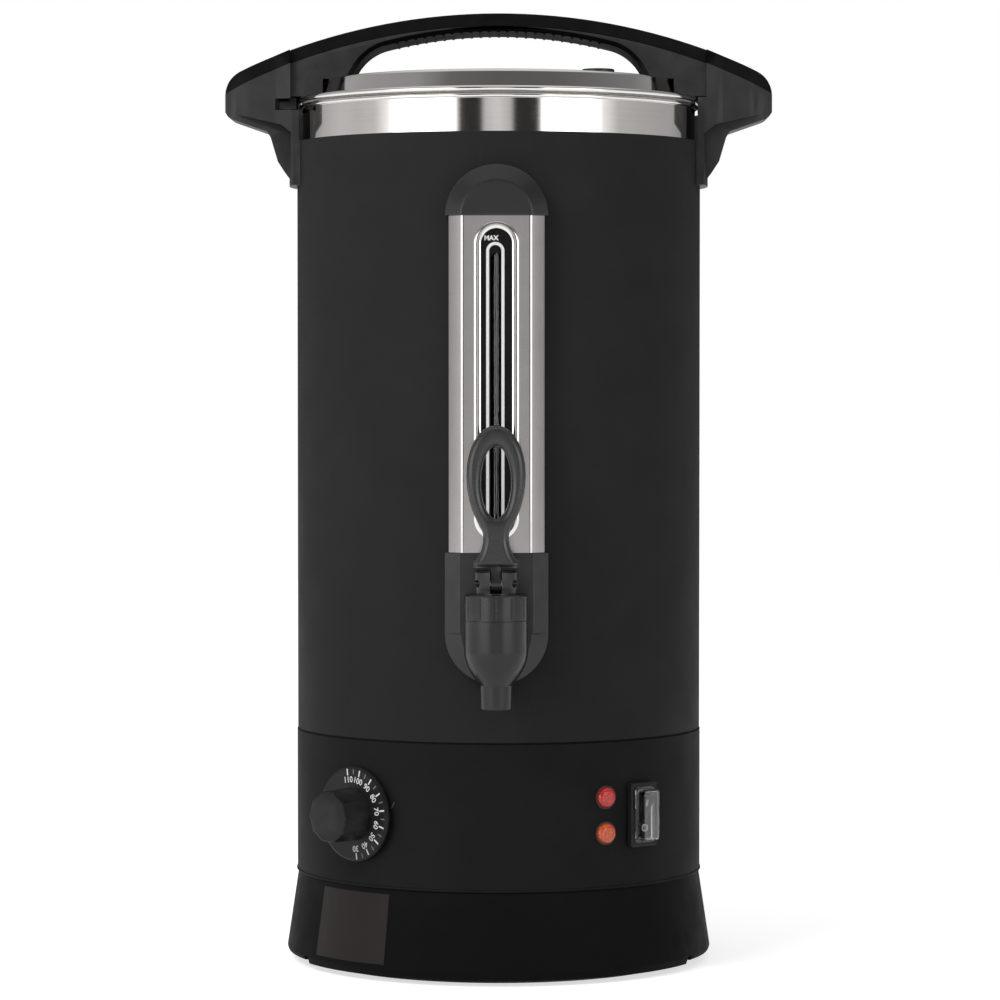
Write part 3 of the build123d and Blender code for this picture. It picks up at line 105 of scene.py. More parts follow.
def addNode(tree, kind, links=(), **settings):
    node = tree.nodes.new(kind)
    for key, value in settings.items():
        setattr(node, key, value)
    for socket, source in links:
        if isinstance(source, (int, float, tuple)):
            node.inputs[socket].default_value = source
        else:
            tree.links.new(source, node.inputs[socket])
    return node


def calc(tree, operation, *sources):
    node = addNode(tree, "ShaderNodeMath", list(enumerate(sources)), operation=operation)
    return node.outputs[0]


def remap(tree, source, fromLow, fromHigh, toLow=0.0, toHigh=1.0):
    links = [("Value", source), (1, fromLow), (2, fromHigh), (3, toLow), (4, toHigh)]
    return addNode(tree, "ShaderNodeMapRange", links).outputs[0]


def grainGroup():  # pimples of a spark-eroded mould or of baked powder
    tree, given, made = newGroup("mouldGrain", [("Scale", 1500.0)], ["Height", "Speckle"])
    spot = addNode(tree, "ShaderNodeTexCoord").outputs["Object"]
    cells = addNode(tree, "ShaderNodeTexVoronoi", [("Vector", spot), ("Scale", given.outputs[0])],
                    feature="SMOOTH_F1")
    fine = addNode(tree, "ShaderNodeTexNoise", [("Vector", spot), ("Scale", given.outputs[0]),
                                                ("Detail", 3.0)])
    height = calc(tree, "ADD", cells.outputs["Distance"], fine.outputs[0])
    tree.links.new(height, made.inputs["Height"])
    speckle = remap(tree, fine.outputs[0], 0.35, 0.65)
    tree.links.new(speckle, made.inputs["Speckle"])
    return tree


def smudgeGroup():  # faint cloudy marks that handling leaves
    tree, given, made = newGroup("handlingSmudge", [("Scale", 14.0)], ["Mask"])
    spot = addNode(tree, "ShaderNodeTexCoord").outputs["Object"]
    wide = addNode(tree, "ShaderNodeTexNoise", [("Vector", spot), ("Scale", given.outputs[0]),
                                                ("Detail", 5.0), ("Distortion", 0.7)])
    small = calc(tree, "MULTIPLY", given.outputs[0], 6.0)
    dots = addNode(tree, "ShaderNodeTexNoise", [("Vector", spot), ("Scale", small), ("Detail", 2.0)])
    both = calc(tree, "MULTIPLY", wide.outputs[0], dots.outputs[0])
    tree.links.new(remap(tree, both, 0.12, 0.42), made.inputs["Mask"])
    return tree


def edgeGroup():  # rounded edges, rubbed a little paler in patches
    tree, given, made = newGroup("edgeWear", [("Spread", 0.04)], ["Mask"])
    point = addNode(tree, "ShaderNodeNewGeometry").outputs["Pointiness"]
    level = 0.51  # just above a flat face
    edge = remap(tree, point, level, calc(tree, "ADD", given.outputs[0], level))
    spot = addNode(tree, "ShaderNodeTexCoord").outputs["Object"]
    patch = addNode(tree, "ShaderNodeTexNoise", [("Vector", spot), ("Scale", 90.0), ("Detail", 4.0)])
    worn = calc(tree, "MULTIPLY", edge, remap(tree, patch.outputs[0], 0.3, 0.6, 0.3, 1.0))
    tree.links.new(worn, made.inputs["Mask"])
    return tree


def brushGroup():  # fine lines, long in one direction
    tree, given, made = newGroup("brushLines", [("Across", 2500.0), ("Along", 15.0)], ["Lines"])
    spot = addNode(tree, "ShaderNodeTexCoord").outputs["Object"]
    stretch = addNode(tree, "ShaderNodeCombineXYZ", [(0, given.outputs[0]), (1, given.outputs[0]),
                                                     (2, given.outputs[1])])
    drawn = addNode(tree, "ShaderNodeVectorMath", [(0, spot), (1, stretch.outputs[0])],
                    operation="MULTIPLY")
    lines = addNode(tree, "ShaderNodeTexNoise", [("Vector", drawn.outputs[0]), ("Scale", 1.0),
                                                 ("Detail", 4.0)])
    tree.links.new(lines.outputs[0], made.inputs["Lines"])
    return tree


def ringGroup():  # turned grooves about an axis through the object's origin
    tree, given, made = newGroup("turnedRings", [("Scale", 900.0)], ["Lines"])
    spot = addNode(tree, "ShaderNodeTexCoord").outputs["Object"]
    parts = addNode(tree, "ShaderNodeSeparateXYZ", [(0, spot)])
    flat = addNode(tree, "ShaderNodeCombineXYZ", [(0, parts.outputs[0]), (1, parts.outputs[1])])
    radius = addNode(tree, "ShaderNodeVectorMath", [(0, flat.outputs[0])], operation="LENGTH")
    scaled = calc(tree, "MULTIPLY", radius.outputs["Value"], given.outputs[0])
    along = calc(tree, "MULTIPLY", parts.outputs[2], given.outputs[0])
    turned = addNode(tree, "ShaderNodeCombineXYZ", [(0, scaled), (1, along)])
    lines = addNode(tree, "ShaderNodeTexNoise", [("Vector", turned.outputs[0]), ("Scale", 1.0),
                                                 ("Detail", 3.0)])
    tree.links.new(lines.outputs[0], made.inputs["Lines"])
    return tree


effects = {
    "grain": grainGroup(),
    "smudge": smudgeGroup(),
    "edge": edgeGroup(),
    "brush": brushGroup(),
    "rings": ringGroup(),
}


def effect(tree, name, **values):
    node = tree.nodes.new("ShaderNodeGroup")
    node.node_tree = effects[name]
    for label, value in values.items():
        node.inputs[label.capitalize()].default_value = value
    return node


def newMaterial(name, **sockets):
    material = bpy.data.materials.new(name)
    material.use_nodes = True
    tree = material.node_tree
    shader = tree.nodes["Principled BSDF"]
    for label, value in sockets.items():
        shader.inputs[label.replace("_", " ")].default_value = value
    return material, tree, shader


def tint(tree, mask, plain, marked):
    # one colour shows through the mask on another; either may come from a node
    colours = [(*c, 1) if isinstance(c, tuple) else c for c in (plain, marked)]
    mix = addNode(tree, "ShaderNodeMix", [("Factor", mask), (6, colours[0]), (7, colours[1])],
                  data_type="RGBA")
    return mix.outputs[2]


def bump(tree, shader, height, depth, strength=1.0):
    links = [("Height", height), ("Distance", depth * mm), ("Strength", strength)]
    node = addNode(tree, "ShaderNodeBump", links)
    tree.links.new(node.outputs[0], shader.inputs["Normal"])


def cover(tree, shader, skin, shine):  # its colour and its roughness
    tree.links.new(skin, shader.inputs["Base Color"])
    tree.links.new(shine, shader.inputs["Roughness"])


# Finishes. Grain sizes and bump depths are in millimetres
def mouldedPlastic(name, colour, worn, rough, grain, depth, level=0.3, paintedUnderShade=None):
    material, tree, shader = newMaterial(name, Specular_IOR_Level=level)
    smudge = effect(tree, "smudge", scale=16.0).outputs[0]
    edge = effect(tree, "edge", spread=0.05).outputs[0]
    texture = effect(tree, "grain", scale=1000.0 / grain)
    skin = tint(tree, edge, colour, worn)
    if paintedUnderShade:  # painted shade: the faces that look down are darkened towards the given colour, as if in shadow
        normal = addNode(tree, "ShaderNodeTexCoord").outputs["Normal"]
        down = addNode(tree, "ShaderNodeSeparateXYZ", [(0, normal)]).outputs[2]
        skin = tint(tree, remap(tree, down, -0.25, -0.45), skin, paintedUnderShade)
    cover(tree, shader, skin, remap(tree, smudge, 0.0, 1.0, rough + 0.05, rough - 0.07))
    bump(tree, shader, texture.outputs["Height"], depth)
    return material


def powderPaint(name, colour, dusty, rough, grain, depth, level=0.25):
    material, tree, shader = newMaterial(name, Specular_IOR_Level=level)
    smudge = effect(tree, "smudge", scale=7.0).outputs[0]
    texture = effect(tree, "grain", scale=1000.0 / grain)
    cloud = calc(tree, "MULTIPLY", smudge, texture.outputs["Speckle"])
    cover(tree, shader, tint(tree, cloud, colour, dusty),
          remap(tree, smudge, 0.0, 1.0, rough + 0.04, rough - 0.05))
    bump(tree, shader, texture.outputs["Height"], depth)
    return material


def drawnMetal(name, colour, stained, rough, lines, depth):
    material, tree, shader = newMaterial(name, Metallic=1.0)
    smudge = effect(tree, "smudge", scale=12.0).outputs[0]
    pattern = effect(tree, lines).outputs[0]
    patchy = calc(tree, "MULTIPLY", pattern, smudge)
    cover(tree, shader, tint(tree, patchy, colour, stained),
          remap(tree, pattern, 0.3, 0.7, rough * 0.8, rough * 1.2))
    bump(tree, shader, pattern, depth)
    return material


def roughMetal(name, colour, stained, rough, grain, depth):
    material, tree, shader = newMaterial(name, Metallic=1.0)
    smudge = effect(tree, "smudge", scale=60.0).outputs[0]
    texture = effect(tree, "grain", scale=1000.0 / grain)
    cover(tree, shader, tint(tree, smudge, colour, stained),
          remap(tree, smudge, 0.0, 1.0, rough, rough + 0.15))
    bump(tree, shader, texture.outputs["Height"], depth)
    return material


def softRubber(name, colour, dusty, rough, sheen=0.2):
    material, tree, shader = newMaterial(name, Specular_IOR_Level=0.35, Sheen_Weight=sheen)
    smudge = effect(tree, "smudge", scale=40.0).outputs[0]
    texture = effect(tree, "grain", scale=2200.0)
    cover(tree, shader, tint(tree, smudge, colour, dusty),
          remap(tree, texture.outputs["Speckle"], 0.0, 1.0, rough, rough + 0.1))
    bump(tree, shader, texture.outputs["Height"], 0.03)
    return material


def lensPlastic(name, colour, deep):
    material, tree, shader = newMaterial(name, Roughness=0.2, Coat_Weight=0.5, Coat_Roughness=0.06,
                                         Transmission_Weight=0.15, IOR=1.45)
    spot = addNode(tree, "ShaderNodeTexCoord").outputs["Object"]
    prisms = addNode(tree, "ShaderNodeTexVoronoi", [("Vector", spot), ("Scale", 900.0)])
    shade = remap(tree, prisms.outputs["Distance"], 0.0, 0.9)
    tree.links.new(tint(tree, shade, colour, deep), shader.inputs["Base Color"])
    bump(tree, shader, prisms.outputs["Distance"], 0.4, strength=0.5)
    return material


def clearPlastic(name, colour, rough, ior):
    material, tree, shader = newMaterial(name, Transmission_Weight=1.0, IOR=ior)
    smudge = effect(tree, "smudge", scale=50.0).outputs[0]
    cover(tree, shader, tint(tree, smudge, colour, tuple(0.9 * c for c in colour)),
          remap(tree, smudge, 0.0, 1.0, rough, rough + 0.1))
    return material


def frostedFilm(name, colour, haze):
    material, tree, shader = newMaterial(name, Roughness=0.6, Specular_IOR_Level=0.2)
    smudge = effect(tree, "smudge", scale=120.0).outputs[0]
    skin = tint(tree, smudge, colour, tuple(0.8 * c for c in colour))
    tree.links.new(skin, shader.inputs["Base Color"])
    tree.links.new(remap(tree, smudge, 0.0, 1.0, haze, haze + 0.06), shader.inputs["Alpha"])
    return material


def wireSkin(name, colour, second=None):
    material, tree, shader = newMaterial(name, Specular_IOR_Level=0.4)
    smudge = effect(tree, "smudge", scale=70.0).outputs[0]
    skin = tint(tree, smudge, colour, tuple(0.75 * c for c in colour))
    if second:  # an earth wire's yellow stripe
        spot = addNode(tree, "ShaderNodeTexCoord").outputs["Object"]
        stripe = addNode(tree, "ShaderNodeTexWave", [("Vector", spot), ("Scale", 70.0)])
        skin = tint(tree, remap(tree, stripe.outputs[1], 0.55, 0.6), skin, second)
    cover(tree, shader, skin, remap(tree, smudge, 0.0, 1.0, 0.35, 0.5))
    return material


def inkMaterial(name, colour, faded):
    material, tree, shader = newMaterial(name, Roughness=0.55)
    speckle = effect(tree, "grain", scale=2600.0).outputs["Speckle"]
    tree.links.new(tint(tree, speckle, colour, faded), shader.inputs["Base Color"])
    return material


# One finish for each material slot of the record
finishes = {
    "black_paint": powderPaint("powderBlack", (0.02, 0.02, 0.0205), (0.025, 0.025, 0.0255),
                               0.6, grain=0.5, depth=0.02, level=0.05),
    "black_plastic": mouldedPlastic("mouldedBlack", (0.015, 0.0145, 0.0148), (0.032, 0.031, 0.032),
                                    0.34, grain=0.35, depth=0.012, level=0.4),
    "handle_plastic": mouldedPlastic("handleBlack", (0.027, 0.026, 0.0265), (0.05, 0.048, 0.049),
                                     0.46, grain=0.4, depth=0.02, level=0.12),
    "cover_plastic": mouldedPlastic("coverBlack", (0.0032, 0.0032, 0.0034), (0.008, 0.008, 0.0085),
                                    0.5, grain=0.3, depth=0.012, level=0.06),
    "polished_steel": drawnMetal("polishedSteel", (0.76, 0.735, 0.71), (0.66, 0.635, 0.61), 0.09,
                                 "rings", depth=0.0008),
    "brushed_steel": drawnMetal("brushedSteel", (0.42, 0.405, 0.395), (0.35, 0.335, 0.325), 0.16,
                                "brush", depth=0.002),
    "zinc_steel": roughMetal("zincPlate", (0.6, 0.61, 0.63), (0.45, 0.45, 0.44), 0.32, 0.6, 0.01),
    "cast_aluminium": roughMetal("castAluminium", (0.55, 0.55, 0.55), (0.4, 0.4, 0.4), 0.5, 0.9, 0.06),
    "copper": roughMetal("copperTube", (0.75, 0.38, 0.24), (0.4, 0.17, 0.1), 0.28, 0.5, 0.01),
    "black_rubber": softRubber("footRubber", (0.018, 0.018, 0.018), (0.04, 0.039, 0.037), 0.7),
    "silicone": softRubber("paleSilicone", (0.7, 0.7, 0.67), (0.6, 0.6, 0.56), 0.45),
    "red_lens": lensPlastic("redLens", (0.8, 0.02, 0.015), (0.45, 0.006, 0.006)),
    "orange_lens": lensPlastic("orangeLens", (0.85, 0.14, 0.02), (0.55, 0.05, 0.005)),
    "clear_plastic": clearPlastic("clearPlastic", (0.86, 0.86, 0.87), 0.06, 1.49),
    "tube_glass": clearPlastic("tubeGlass", (0.96, 0.98, 0.98), 0.0, 1.5),
    "window_plastic": mouldedPlastic("windowBlack", (0.004, 0.004, 0.0045), (0.008, 0.008, 0.009),
                                     0.3, grain=0.6, depth=0.003, level=0.12),
    "nylon": softRubber("whiteNylon", (0.72, 0.71, 0.65), (0.62, 0.6, 0.53), 0.42, 0.0),
    "brown_wire": wireSkin("brownWire", (0.14, 0.05, 0.02)),
    "blue_wire": wireSkin("blueWire", (0.02, 0.09, 0.38)),
    "green_wire": wireSkin("earthWire", (0.04, 0.28, 0.04), (0.75, 0.6, 0.04)),
    "white_wire": wireSkin("whiteWire", (0.68, 0.68, 0.66)),
}
inks = {
    "white": inkMaterial("whiteInk", (0.85, 0.85, 0.85), (0.66, 0.66, 0.66)),
    "grey": inkMaterial("greyInk", (0.2, 0.2, 0.2), (0.14, 0.14, 0.14)),
    "faint": inkMaterial("faintInk", (0.06, 0.06, 0.06), (0.04, 0.04, 0.04)),
}
# Variants of those finishes for single pieces
shades = {
    # painted shade: the band's paint is a darker copy of the shell's, for the shade low on the drum
    "band": powderPaint("bandShadedBlack", (0.01, 0.01, 0.0102), (0.013, 0.013, 0.0132), 0.6, grain=0.5,
                        depth=0.02, level=0.06),
    # a duller plastic for the skirt and seam ring, whose darker colour is painted shade low on the base
    "skirt": mouldedPlastic("skirtShadedBlack", (0.0065, 0.006, 0.0065), (0.011, 0.0105, 0.011), 0.55,
                            grain=0.5, depth=0.02, level=0.03),
    # the grip's faces that look down carry painted shade
    "grip": mouldedPlastic("gripBlack", (0.029, 0.028, 0.0285), (0.055, 0.053, 0.054), 0.5, grain=0.4,
                           depth=0.02, level=0.01, paintedUnderShade=(0.0055, 0.0055, 0.0055)),
    "tap": mouldedPlastic("tapBlack", (0.0075, 0.007, 0.0075), (0.03, 0.029, 0.03), 0.27, grain=0.35,
                          depth=0.004, level=0.4),
    "lever": mouldedPlastic("leverBlack", (0.024, 0.0235, 0.024), (0.04, 0.039, 0.04), 0.3, grain=0.35,
                            depth=0.004, level=0.5),
    "bezel": mouldedPlastic("bezelBlack", (0.0085, 0.008, 0.008), (0.02, 0.02, 0.02), 0.4, grain=0.3,
                            depth=0.01, level=0.2),
    "knob": mouldedPlastic("knobBlack", (0.0065, 0.0065, 0.0065), (0.024, 0.024, 0.024), 0.42,
                           grain=0.35, depth=0.012, level=0.2),
    "sticker": mouldedPlastic("stickerFilm", (0.018, 0.0145, 0.014), (0.026, 0.022, 0.021), 0.4,
                              grain=1.2, depth=0.004, level=0.12),
    "film": frostedFilm("hoodFrost", (0.4, 0.39, 0.4), 0.06),
    "rim": drawnMetal("rimSteel", (0.72, 0.7, 0.68), (0.62, 0.6, 0.58), 0.14, "brush", depth=0.0006),
}
print("finishes:", len(finishes) + len(inks) + len(shades))

# Every node that keeps its CAD shape takes its slot's finish
slotOf = {part["node"]: part["material_slot"] for part in frame["record"]["subparts"]}
for nodeName, slotName in slotOf.items():
    kept = nodes[nodeName]
    kept.data.materials.clear()
    kept.data.materials.append(finishes[slotName])


# Making pieces, in millimetres
mergeGap = 0.002  # corners of a CAD node's triangles that are this close are one
weldGap = 0.001  # the same on a new piece
flatAngle = 0.04  # degrees; neighbouring CAD triangles this flat are one face
sharpAngle = 35  # degrees; steeper edges are rounded, or stay crisp


def addPiece(name, mesh, body, slotName, standsFor=(), material=None):
    mesh.materials.clear()
    mesh.materials.append(material or finishes[slotName])
    mesh.shade_smooth()
    piece = bpy.data.objects.new(name, mesh)
    scene.collection.objects.link(piece)
    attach(piece, body)
    if standsFor:
        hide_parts(*standsFor)
    return piece


def makePiece(name, bm, body, slotName, standsFor=(), material=None, sharp=sharpAngle):
    bmesh.ops.remove_doubles(bm, verts=bm.verts, dist=weldGap)
    bmesh.ops.recalc_face_normals(bm, faces=bm.faces)
    bmesh.ops.scale(bm, vec=(mm, mm, mm), verts=bm.verts)
    mesh = bpy.data.meshes.new(name)
    bm.to_mesh(mesh)
    bm.free()
    piece = addPiece(name, mesh, body, slotName, standsFor, material)
    mesh.set_sharp_from_angle(angle=radians(sharp))
    return piece


def softenNode(node, name, width, shade=None, front=None, clamp=False):
    # a merged copy of the node with rounds of a small width on its edges
    bm = bmesh.new()
    bm.from_mesh(nodes[node].data)
    if front is not None:  # nothing stands out past this plane
        for vert in bm.verts:
            vert.co.y = max(vert.co.y, front * mm)
    bmesh.ops.remove_doubles(bm, verts=bm.verts, dist=mergeGap * mm)
    bmesh.ops.dissolve_limit(bm, angle_limit=radians(flatAngle), verts=bm.verts, edges=bm.edges)
    mesh = bpy.data.meshes.new(name)
    bm.to_mesh(mesh)
    bm.free()
    oldNormals = mesh.attributes.get("custom_normal")
    if oldNormals:
        mesh.attributes.remove(oldNormals)
    material = shades[shade] if shade else None
    piece = addPiece(name, mesh, nodes[node]["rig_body"], slotOf[node], [node], material)
    rounding = piece.modifiers.new("rounding", "BEVEL")
    rounding.width = width * mm
    rounding.segments = 2
    rounding.limit_method = "ANGLE"
    rounding.angle_limit = radians(sharpAngle)
    rounding.use_clamp_overlap = clamp
    rounding.harden_normals = True


def spinProfile(outline, turns, rounds=None):
    # a closed outline on the XZ plane turned once about Z; rounds gives corners a radius by number
    bm = bmesh.new()
    corners = [bm.verts.new((x, 0, z)) for x, z in outline]
    for here, there in zip(corners, corners[1:] + corners[:1]):
        bm.edges.new((here, there))
    for corner, radius in (rounds or {}).items():
        bmesh.ops.bevel(bm, geom=[corners[corner]], offset=radius, segments=4, profile=0.5,
                        affect="VERTICES", material=-1)
    bmesh.ops.spin(bm, geom=bm.verts[:] + bm.edges[:], cent=(0, 0, 0), axis=(0, 0, 1),
                   angle=2 * pi, steps=turns, use_merge=True)
    bmesh.ops.remove_doubles(bm, verts=bm.verts, dist=weldGap)
    return bm


def arc(x, z, radius, start, end, step=15):
    angles = [radians(a) for a in range(start, end, step)]
    return [(x + radius * cos(a), z + radius * sin(a)) for a in angles]


def absorb(bm, other):
    # another bmesh becomes part of this one
    mesh = bpy.data.meshes.new("part")
    other.to_mesh(mesh)
    other.free()
    bm.from_mesh(mesh)
    bpy.data.meshes.remove(mesh)


def outwards(angle):
    # a level direction, by its angle from the tap, to the right as the user sees it
    turn = radians(angle)
    return Vector((sin(turn), -cos(turn), 0))


def wallPlace(angle, height, radius):
    # x to the right, y up and z outwards, seen from outside a round wall
    out = outwards(angle)
    place = Matrix.Identity(4)
    for column, axis in enumerate((Vector((-out.y, out.x, 0)), Vector((0, 0, 1)), out)):
        for row in range(3):
            place[row][column] = axis[row]
    place.translation = out * radius + Vector((0, 0, height))
    return place


def frontPlace(x, y, z):
    # x to the right, y up and z towards the user, on a flat front
    return Matrix.Translation((x, y, z)) @ Matrix.Rotation(pi / 2, 4, "X")


def reachOf(node, angle):
    # how far out a node stands in a direction
    out = outwards(angle)
    return max(v.co.dot(out) for v in nodes[node].data.vertices) / mm


def addWords(bm, words, height, place, thickness, weight=0.0):
    # letters laid flat on a place, as part of a piece
    capitals = 0.72  # their height as a share of the built-in font's size
    curve = bpy.data.curves.new("words", "FONT")
    curve.body = words
    curve.size = height / capitals
    curve.extrude = thickness / 2
    curve.offset = weight
    curve.align_x = "CENTER"
    curve.align_y = "CENTER"
    curve.resolution_u = 4
    holder = bpy.data.objects.new("words", curve)
    scene.collection.objects.link(holder)
    bpy.context.view_layer.update()
    flat = holder.evaluated_get(bpy.context.evaluated_depsgraph_get())
    mesh = bpy.data.meshes.new_from_object(flat)
    mesh.transform(place)
    bm.from_mesh(mesh)
    bpy.data.meshes.remove(mesh)
    bpy.data.objects.remove(holder)
    bpy.data.curves.remove(curve)


def addBar(bm, width, height, thickness, place):
    made = bmesh.ops.create_cube(bm, size=1.0)
    bmesh.ops.scale(bm, vec=(width, height, thickness), verts=made["verts"])
    bmesh.ops.transform(bm, matrix=place, verts=made["verts"])


# Painted drum and base
softenNode("outer_shell", "shellDrum", 0.3)
softenNode("control_band", "controlDrum", 0.25, "band")
softenNode("base_skirt", "flaredSkirt", 0.5, "skirt")
softenNode("seam_ring", "seamBand", 0.15, "skirt")

sticker = {"left": -57.0, "right": -31.0, "low": 9.5, "high": 46.8, "lift": 0.12,
           "columns": 24, "rows": 12, "pressedFrom": 150.0}


def skirtSticker():
    # a bare label pressed onto the flare
    bm = bmesh.new()
    bmesh.ops.create_grid(bm, x_segments=sticker["columns"], y_segments=sticker["rows"], size=0.5)
    skirt = bmesh.new()
    skirt.from_mesh(nodes["base_skirt"].data)
    surface = BVHTree.FromBMesh(skirt)
    skirt.free()
    for vert in bm.verts:
        out = outwards(sticker["left"] + (vert.co.x + 0.5) * (sticker["right"] - sticker["left"]))
        z = sticker["low"] + (vert.co.y + 0.5) * (sticker["high"] - sticker["low"])
        start = (out * sticker["pressedFrom"] + Vector((0, 0, z))) * mm
        vert.co = surface.ray_cast(start, -out)[0] / mm + out * sticker["lift"]
    makePiece("skirtSticker", bm, "root", "black_plastic", material=shades["sticker"])


skirtSticker()
print("drum and base done")

# Polished collar and lid
collar = {"wall": 1.0, "bead": 1.3, "beadOut": 0.4, "beadStart": -105, "beadEnd": 226, "lip": 0.52,
          "setBack": 2.9, "flange": 0.8, "turns": 192}


def rimCollar():
    # a drawn ring that rolls outwards into a bead at its top and rests its flange in the shell
    low, high = boxOf("rim_collar")
    outer = shellRadius - collar["setBack"]
    inner = outer - collar["wall"]
    beadX, beadZ = outer + collar["beadOut"], high.z - collar["bead"]
    ledge = shellTop - collar["flange"]
    outline = [(inner, low.z), (outer, low.z), (outer, ledge - collar["flange"]),
               (high.x, ledge - collar["flange"]), (high.x, ledge), (outer, ledge)]
    outline += arc(beadX, beadZ, collar["bead"], collar["beadStart"], collar["beadEnd"])
    outline += [(inner, beadZ + collar["lip"])]
    makePiece("rimCollar", spinProfile(outline, collar["turns"]), "root", "polished_steel",
              ["rim_collar"])


rimCollar()

lid = {"sheet": 0.8, "bead": 1.5, "crownBack": 13.3, "draft": 1.9, "crownRise": 10.0, "dome": 1.2,
       "shoulder": 0.48, "shoulderAt": 0.55, "domeEnd": 0.8, "rounds": {3: 1.6, 4: 0.7, 8: 1.0},
       "turns": 192}


def lidPan():
    # a pressed pan with a faintly domed crown, and a bead rolled round its edge
    low, high = boxOf("lid_pan")
    edge = high.x - lid["bead"]
    flange = low.z + 2 * lid["bead"]
    crown = flange + lid["crownRise"]
    foot = shellRadius - lid["crownBack"]
    top = foot - lid["draft"]
    shoulder = foot * lid["shoulderAt"]
    domeEnd = foot * lid["domeEnd"]
    sheet = lid["sheet"]
    outline = [
        (0, crown + lid["dome"]),
        (shoulder, crown + lid["shoulder"]),
        (domeEnd, crown),
        (top, crown),
        (foot, flange),
        (edge, flange),
        (edge, flange - sheet),
        (foot - sheet, flange - sheet),
        (top - sheet, crown - sheet),
        (domeEnd, crown - sheet),
        (shoulder, crown + lid["shoulder"] - sheet),
        (0, crown + lid["dome"] - sheet),
    ]
    bm = spinProfile(outline, lid["turns"], lid["rounds"])
    roll = arc(edge, low.z + lid["bead"], lid["bead"], 0, 360)
    absorb(bm, spinProfile(roll, lid["turns"]))
    makePiece("lidPan", bm, "lid", "polished_steel", ["lid_pan"])


lidPan()
softenNode("steam_vent_cap", "ventCap", 0.3)
print("collar and lid done")

# Handles; the side handles' rounds are clamped, so that no corner swells past the CAD shape
softenNode("lid_handle", "lidGrip", 0.35, "grip")
softenNode("lid_handle_cover", "lidGripCover", 0.35)
softenNode("side_handle_left", "leftWing", 0.45, clamp=True)
softenNode("side_handle_right", "rightWing", 0.45, clamp=True)
softenNode("side_handle_covers", "wingCovers", 0.35)
print("handles done")

# Tower and level gauge
softenNode("tower_top_cap", "towerTop", 0.8)
softenNode("tower_base", "towerBase", 0.4)
softenNode("gauge_window", "gaugeWindow", 0.15)

gauge = {"slotHalf": 8.1, "rimHalf": 12.1, "rimRise": 0.9, "slotTop": 403.5, "slotLow": 242.3,
         "lineHalf": 4.85, "line": 1.6, "lineTop": 396.4, "lineLow": 246.0, "lift": 0.05, "points": 48,
         "shift": -0.65, "wordHeight": 2.5, "wordAt": (-2.8, 398.4), "wordDepth": 0.06, "weight": 0.14}


def slotLoop(bm, radius, top, low, rise=0.0):
    # a circle whose halves move apart into the outline of an upright slot
    loop = bmesh.ops.create_circle(bm, segments=gauge["points"], radius=radius)["verts"]
    turn = Matrix.Rotation(pi / gauge["points"], 3, "Z")  # no point stays on the split
    for vert in loop:
        vert.co = turn @ vert.co
        vert.co.y += top if vert.co.y > 0 else low
        vert.co.z = rise
    return {edge for vert in loop for edge in vert.link_edges}


pressedFront = towerFront + gauge["rimRise"]
windowFront = boxOf("gauge_window")[0].y


def slotRim():
    # the rounded steel bead around the window
    half = (gauge["rimHalf"] - gauge["slotHalf"]) / 2
    middle = (gauge["rimHalf"] + gauge["slotHalf"]) / 2
    top, low = gauge["slotTop"] - gauge["slotHalf"], gauge["slotLow"] + gauge["slotHalf"]
    bm = bmesh.new()
    loops = [slotLoop(bm, middle - half * cos(radians(a)), top, low, gauge["rimRise"] * sin(radians(a)))
             for a in range(0, 181, 15)]
    for inner, outer in zip(loops, loops[1:]):
        bmesh.ops.bridge_loops(bm, edges=list(inner | outer))
    bmesh.ops.transform(bm, matrix=frontPlace(0, pressedFront, 0), verts=bm.verts)
    makePiece("slotRim", bm, "root", "brushed_steel", material=shades["rim"])


def gaugeOutline():
    # the printed line around the tube's slot
    bm = bmesh.new()
    half, line = gauge["lineHalf"], gauge["line"]
    top, bottom = gauge["lineTop"] - half, gauge["lineLow"] + half
    rims = slotLoop(bm, half, top, bottom) | slotLoop(bm, half - line, top, bottom)
    bmesh.ops.bridge_loops(bm, edges=list(rims))
    place = frontPlace(gauge["shift"], windowFront - gauge["lift"], 0)
    bmesh.ops.transform(bm, matrix=place, verts=bm.verts)
    makePiece("gaugeOutline", bm, "root", "window_plastic", material=inks["white"])


def gaugeWord():
    x, z = gauge["wordAt"]
    bm = bmesh.new()
    addWords(bm, "MAX", gauge["wordHeight"], frontPlace(x, windowFront - gauge["lift"], z),
             gauge["wordDepth"], gauge["weight"])
    makePiece("gaugeWord", bm, "root", "window_plastic", material=inks["white"])


# The bead takes the place of the cover's own squared rim, which is pressed flat under it
softenNode("tower_cover", "towerCover", 0.15, front=pressedFront)
slotRim()
gaugeOutline()
gaugeWord()
print("tower done")

# Tap
softenNode("tap_body", "tapBody", 0.4, "tap")
softenNode("tap_bonnet", "tapBonnet", 0.3, "tap", clamp=True)

lever = {
    "loopHalf": 15.6, "loopHeight": 58.8, "egg": 0.1, "points": 24, "holeHalf": 7.8, "holeHeight": 38.1,
    "holeDrop": 10.9, "back": -145.0, "inset": 0.1, "round": 2.9, "roundFrom": 50, "stalkFrom": 5.0,
    "stalk": ((4.0, 0.94), (8.0, 0.97), (13.0, 1.2), (17.0, 1.6), (19.4, 1.78)),  # drop, share of width
    "cutAbove": 5.0,
}


def leverLoop(bm, half, height, centre, egg=0.0):
    # an upright oval, its upper half wider than its lower by the egg share
    loop = bmesh.ops.create_circle(bm, segments=lever["points"], radius=1.0)["verts"]
    for vert in loop:
        x, y = vert.co.x, vert.co.y
        vert.co = (half * x * (1 + egg * y), lever["back"], centre + y * height / 2)
    return loop


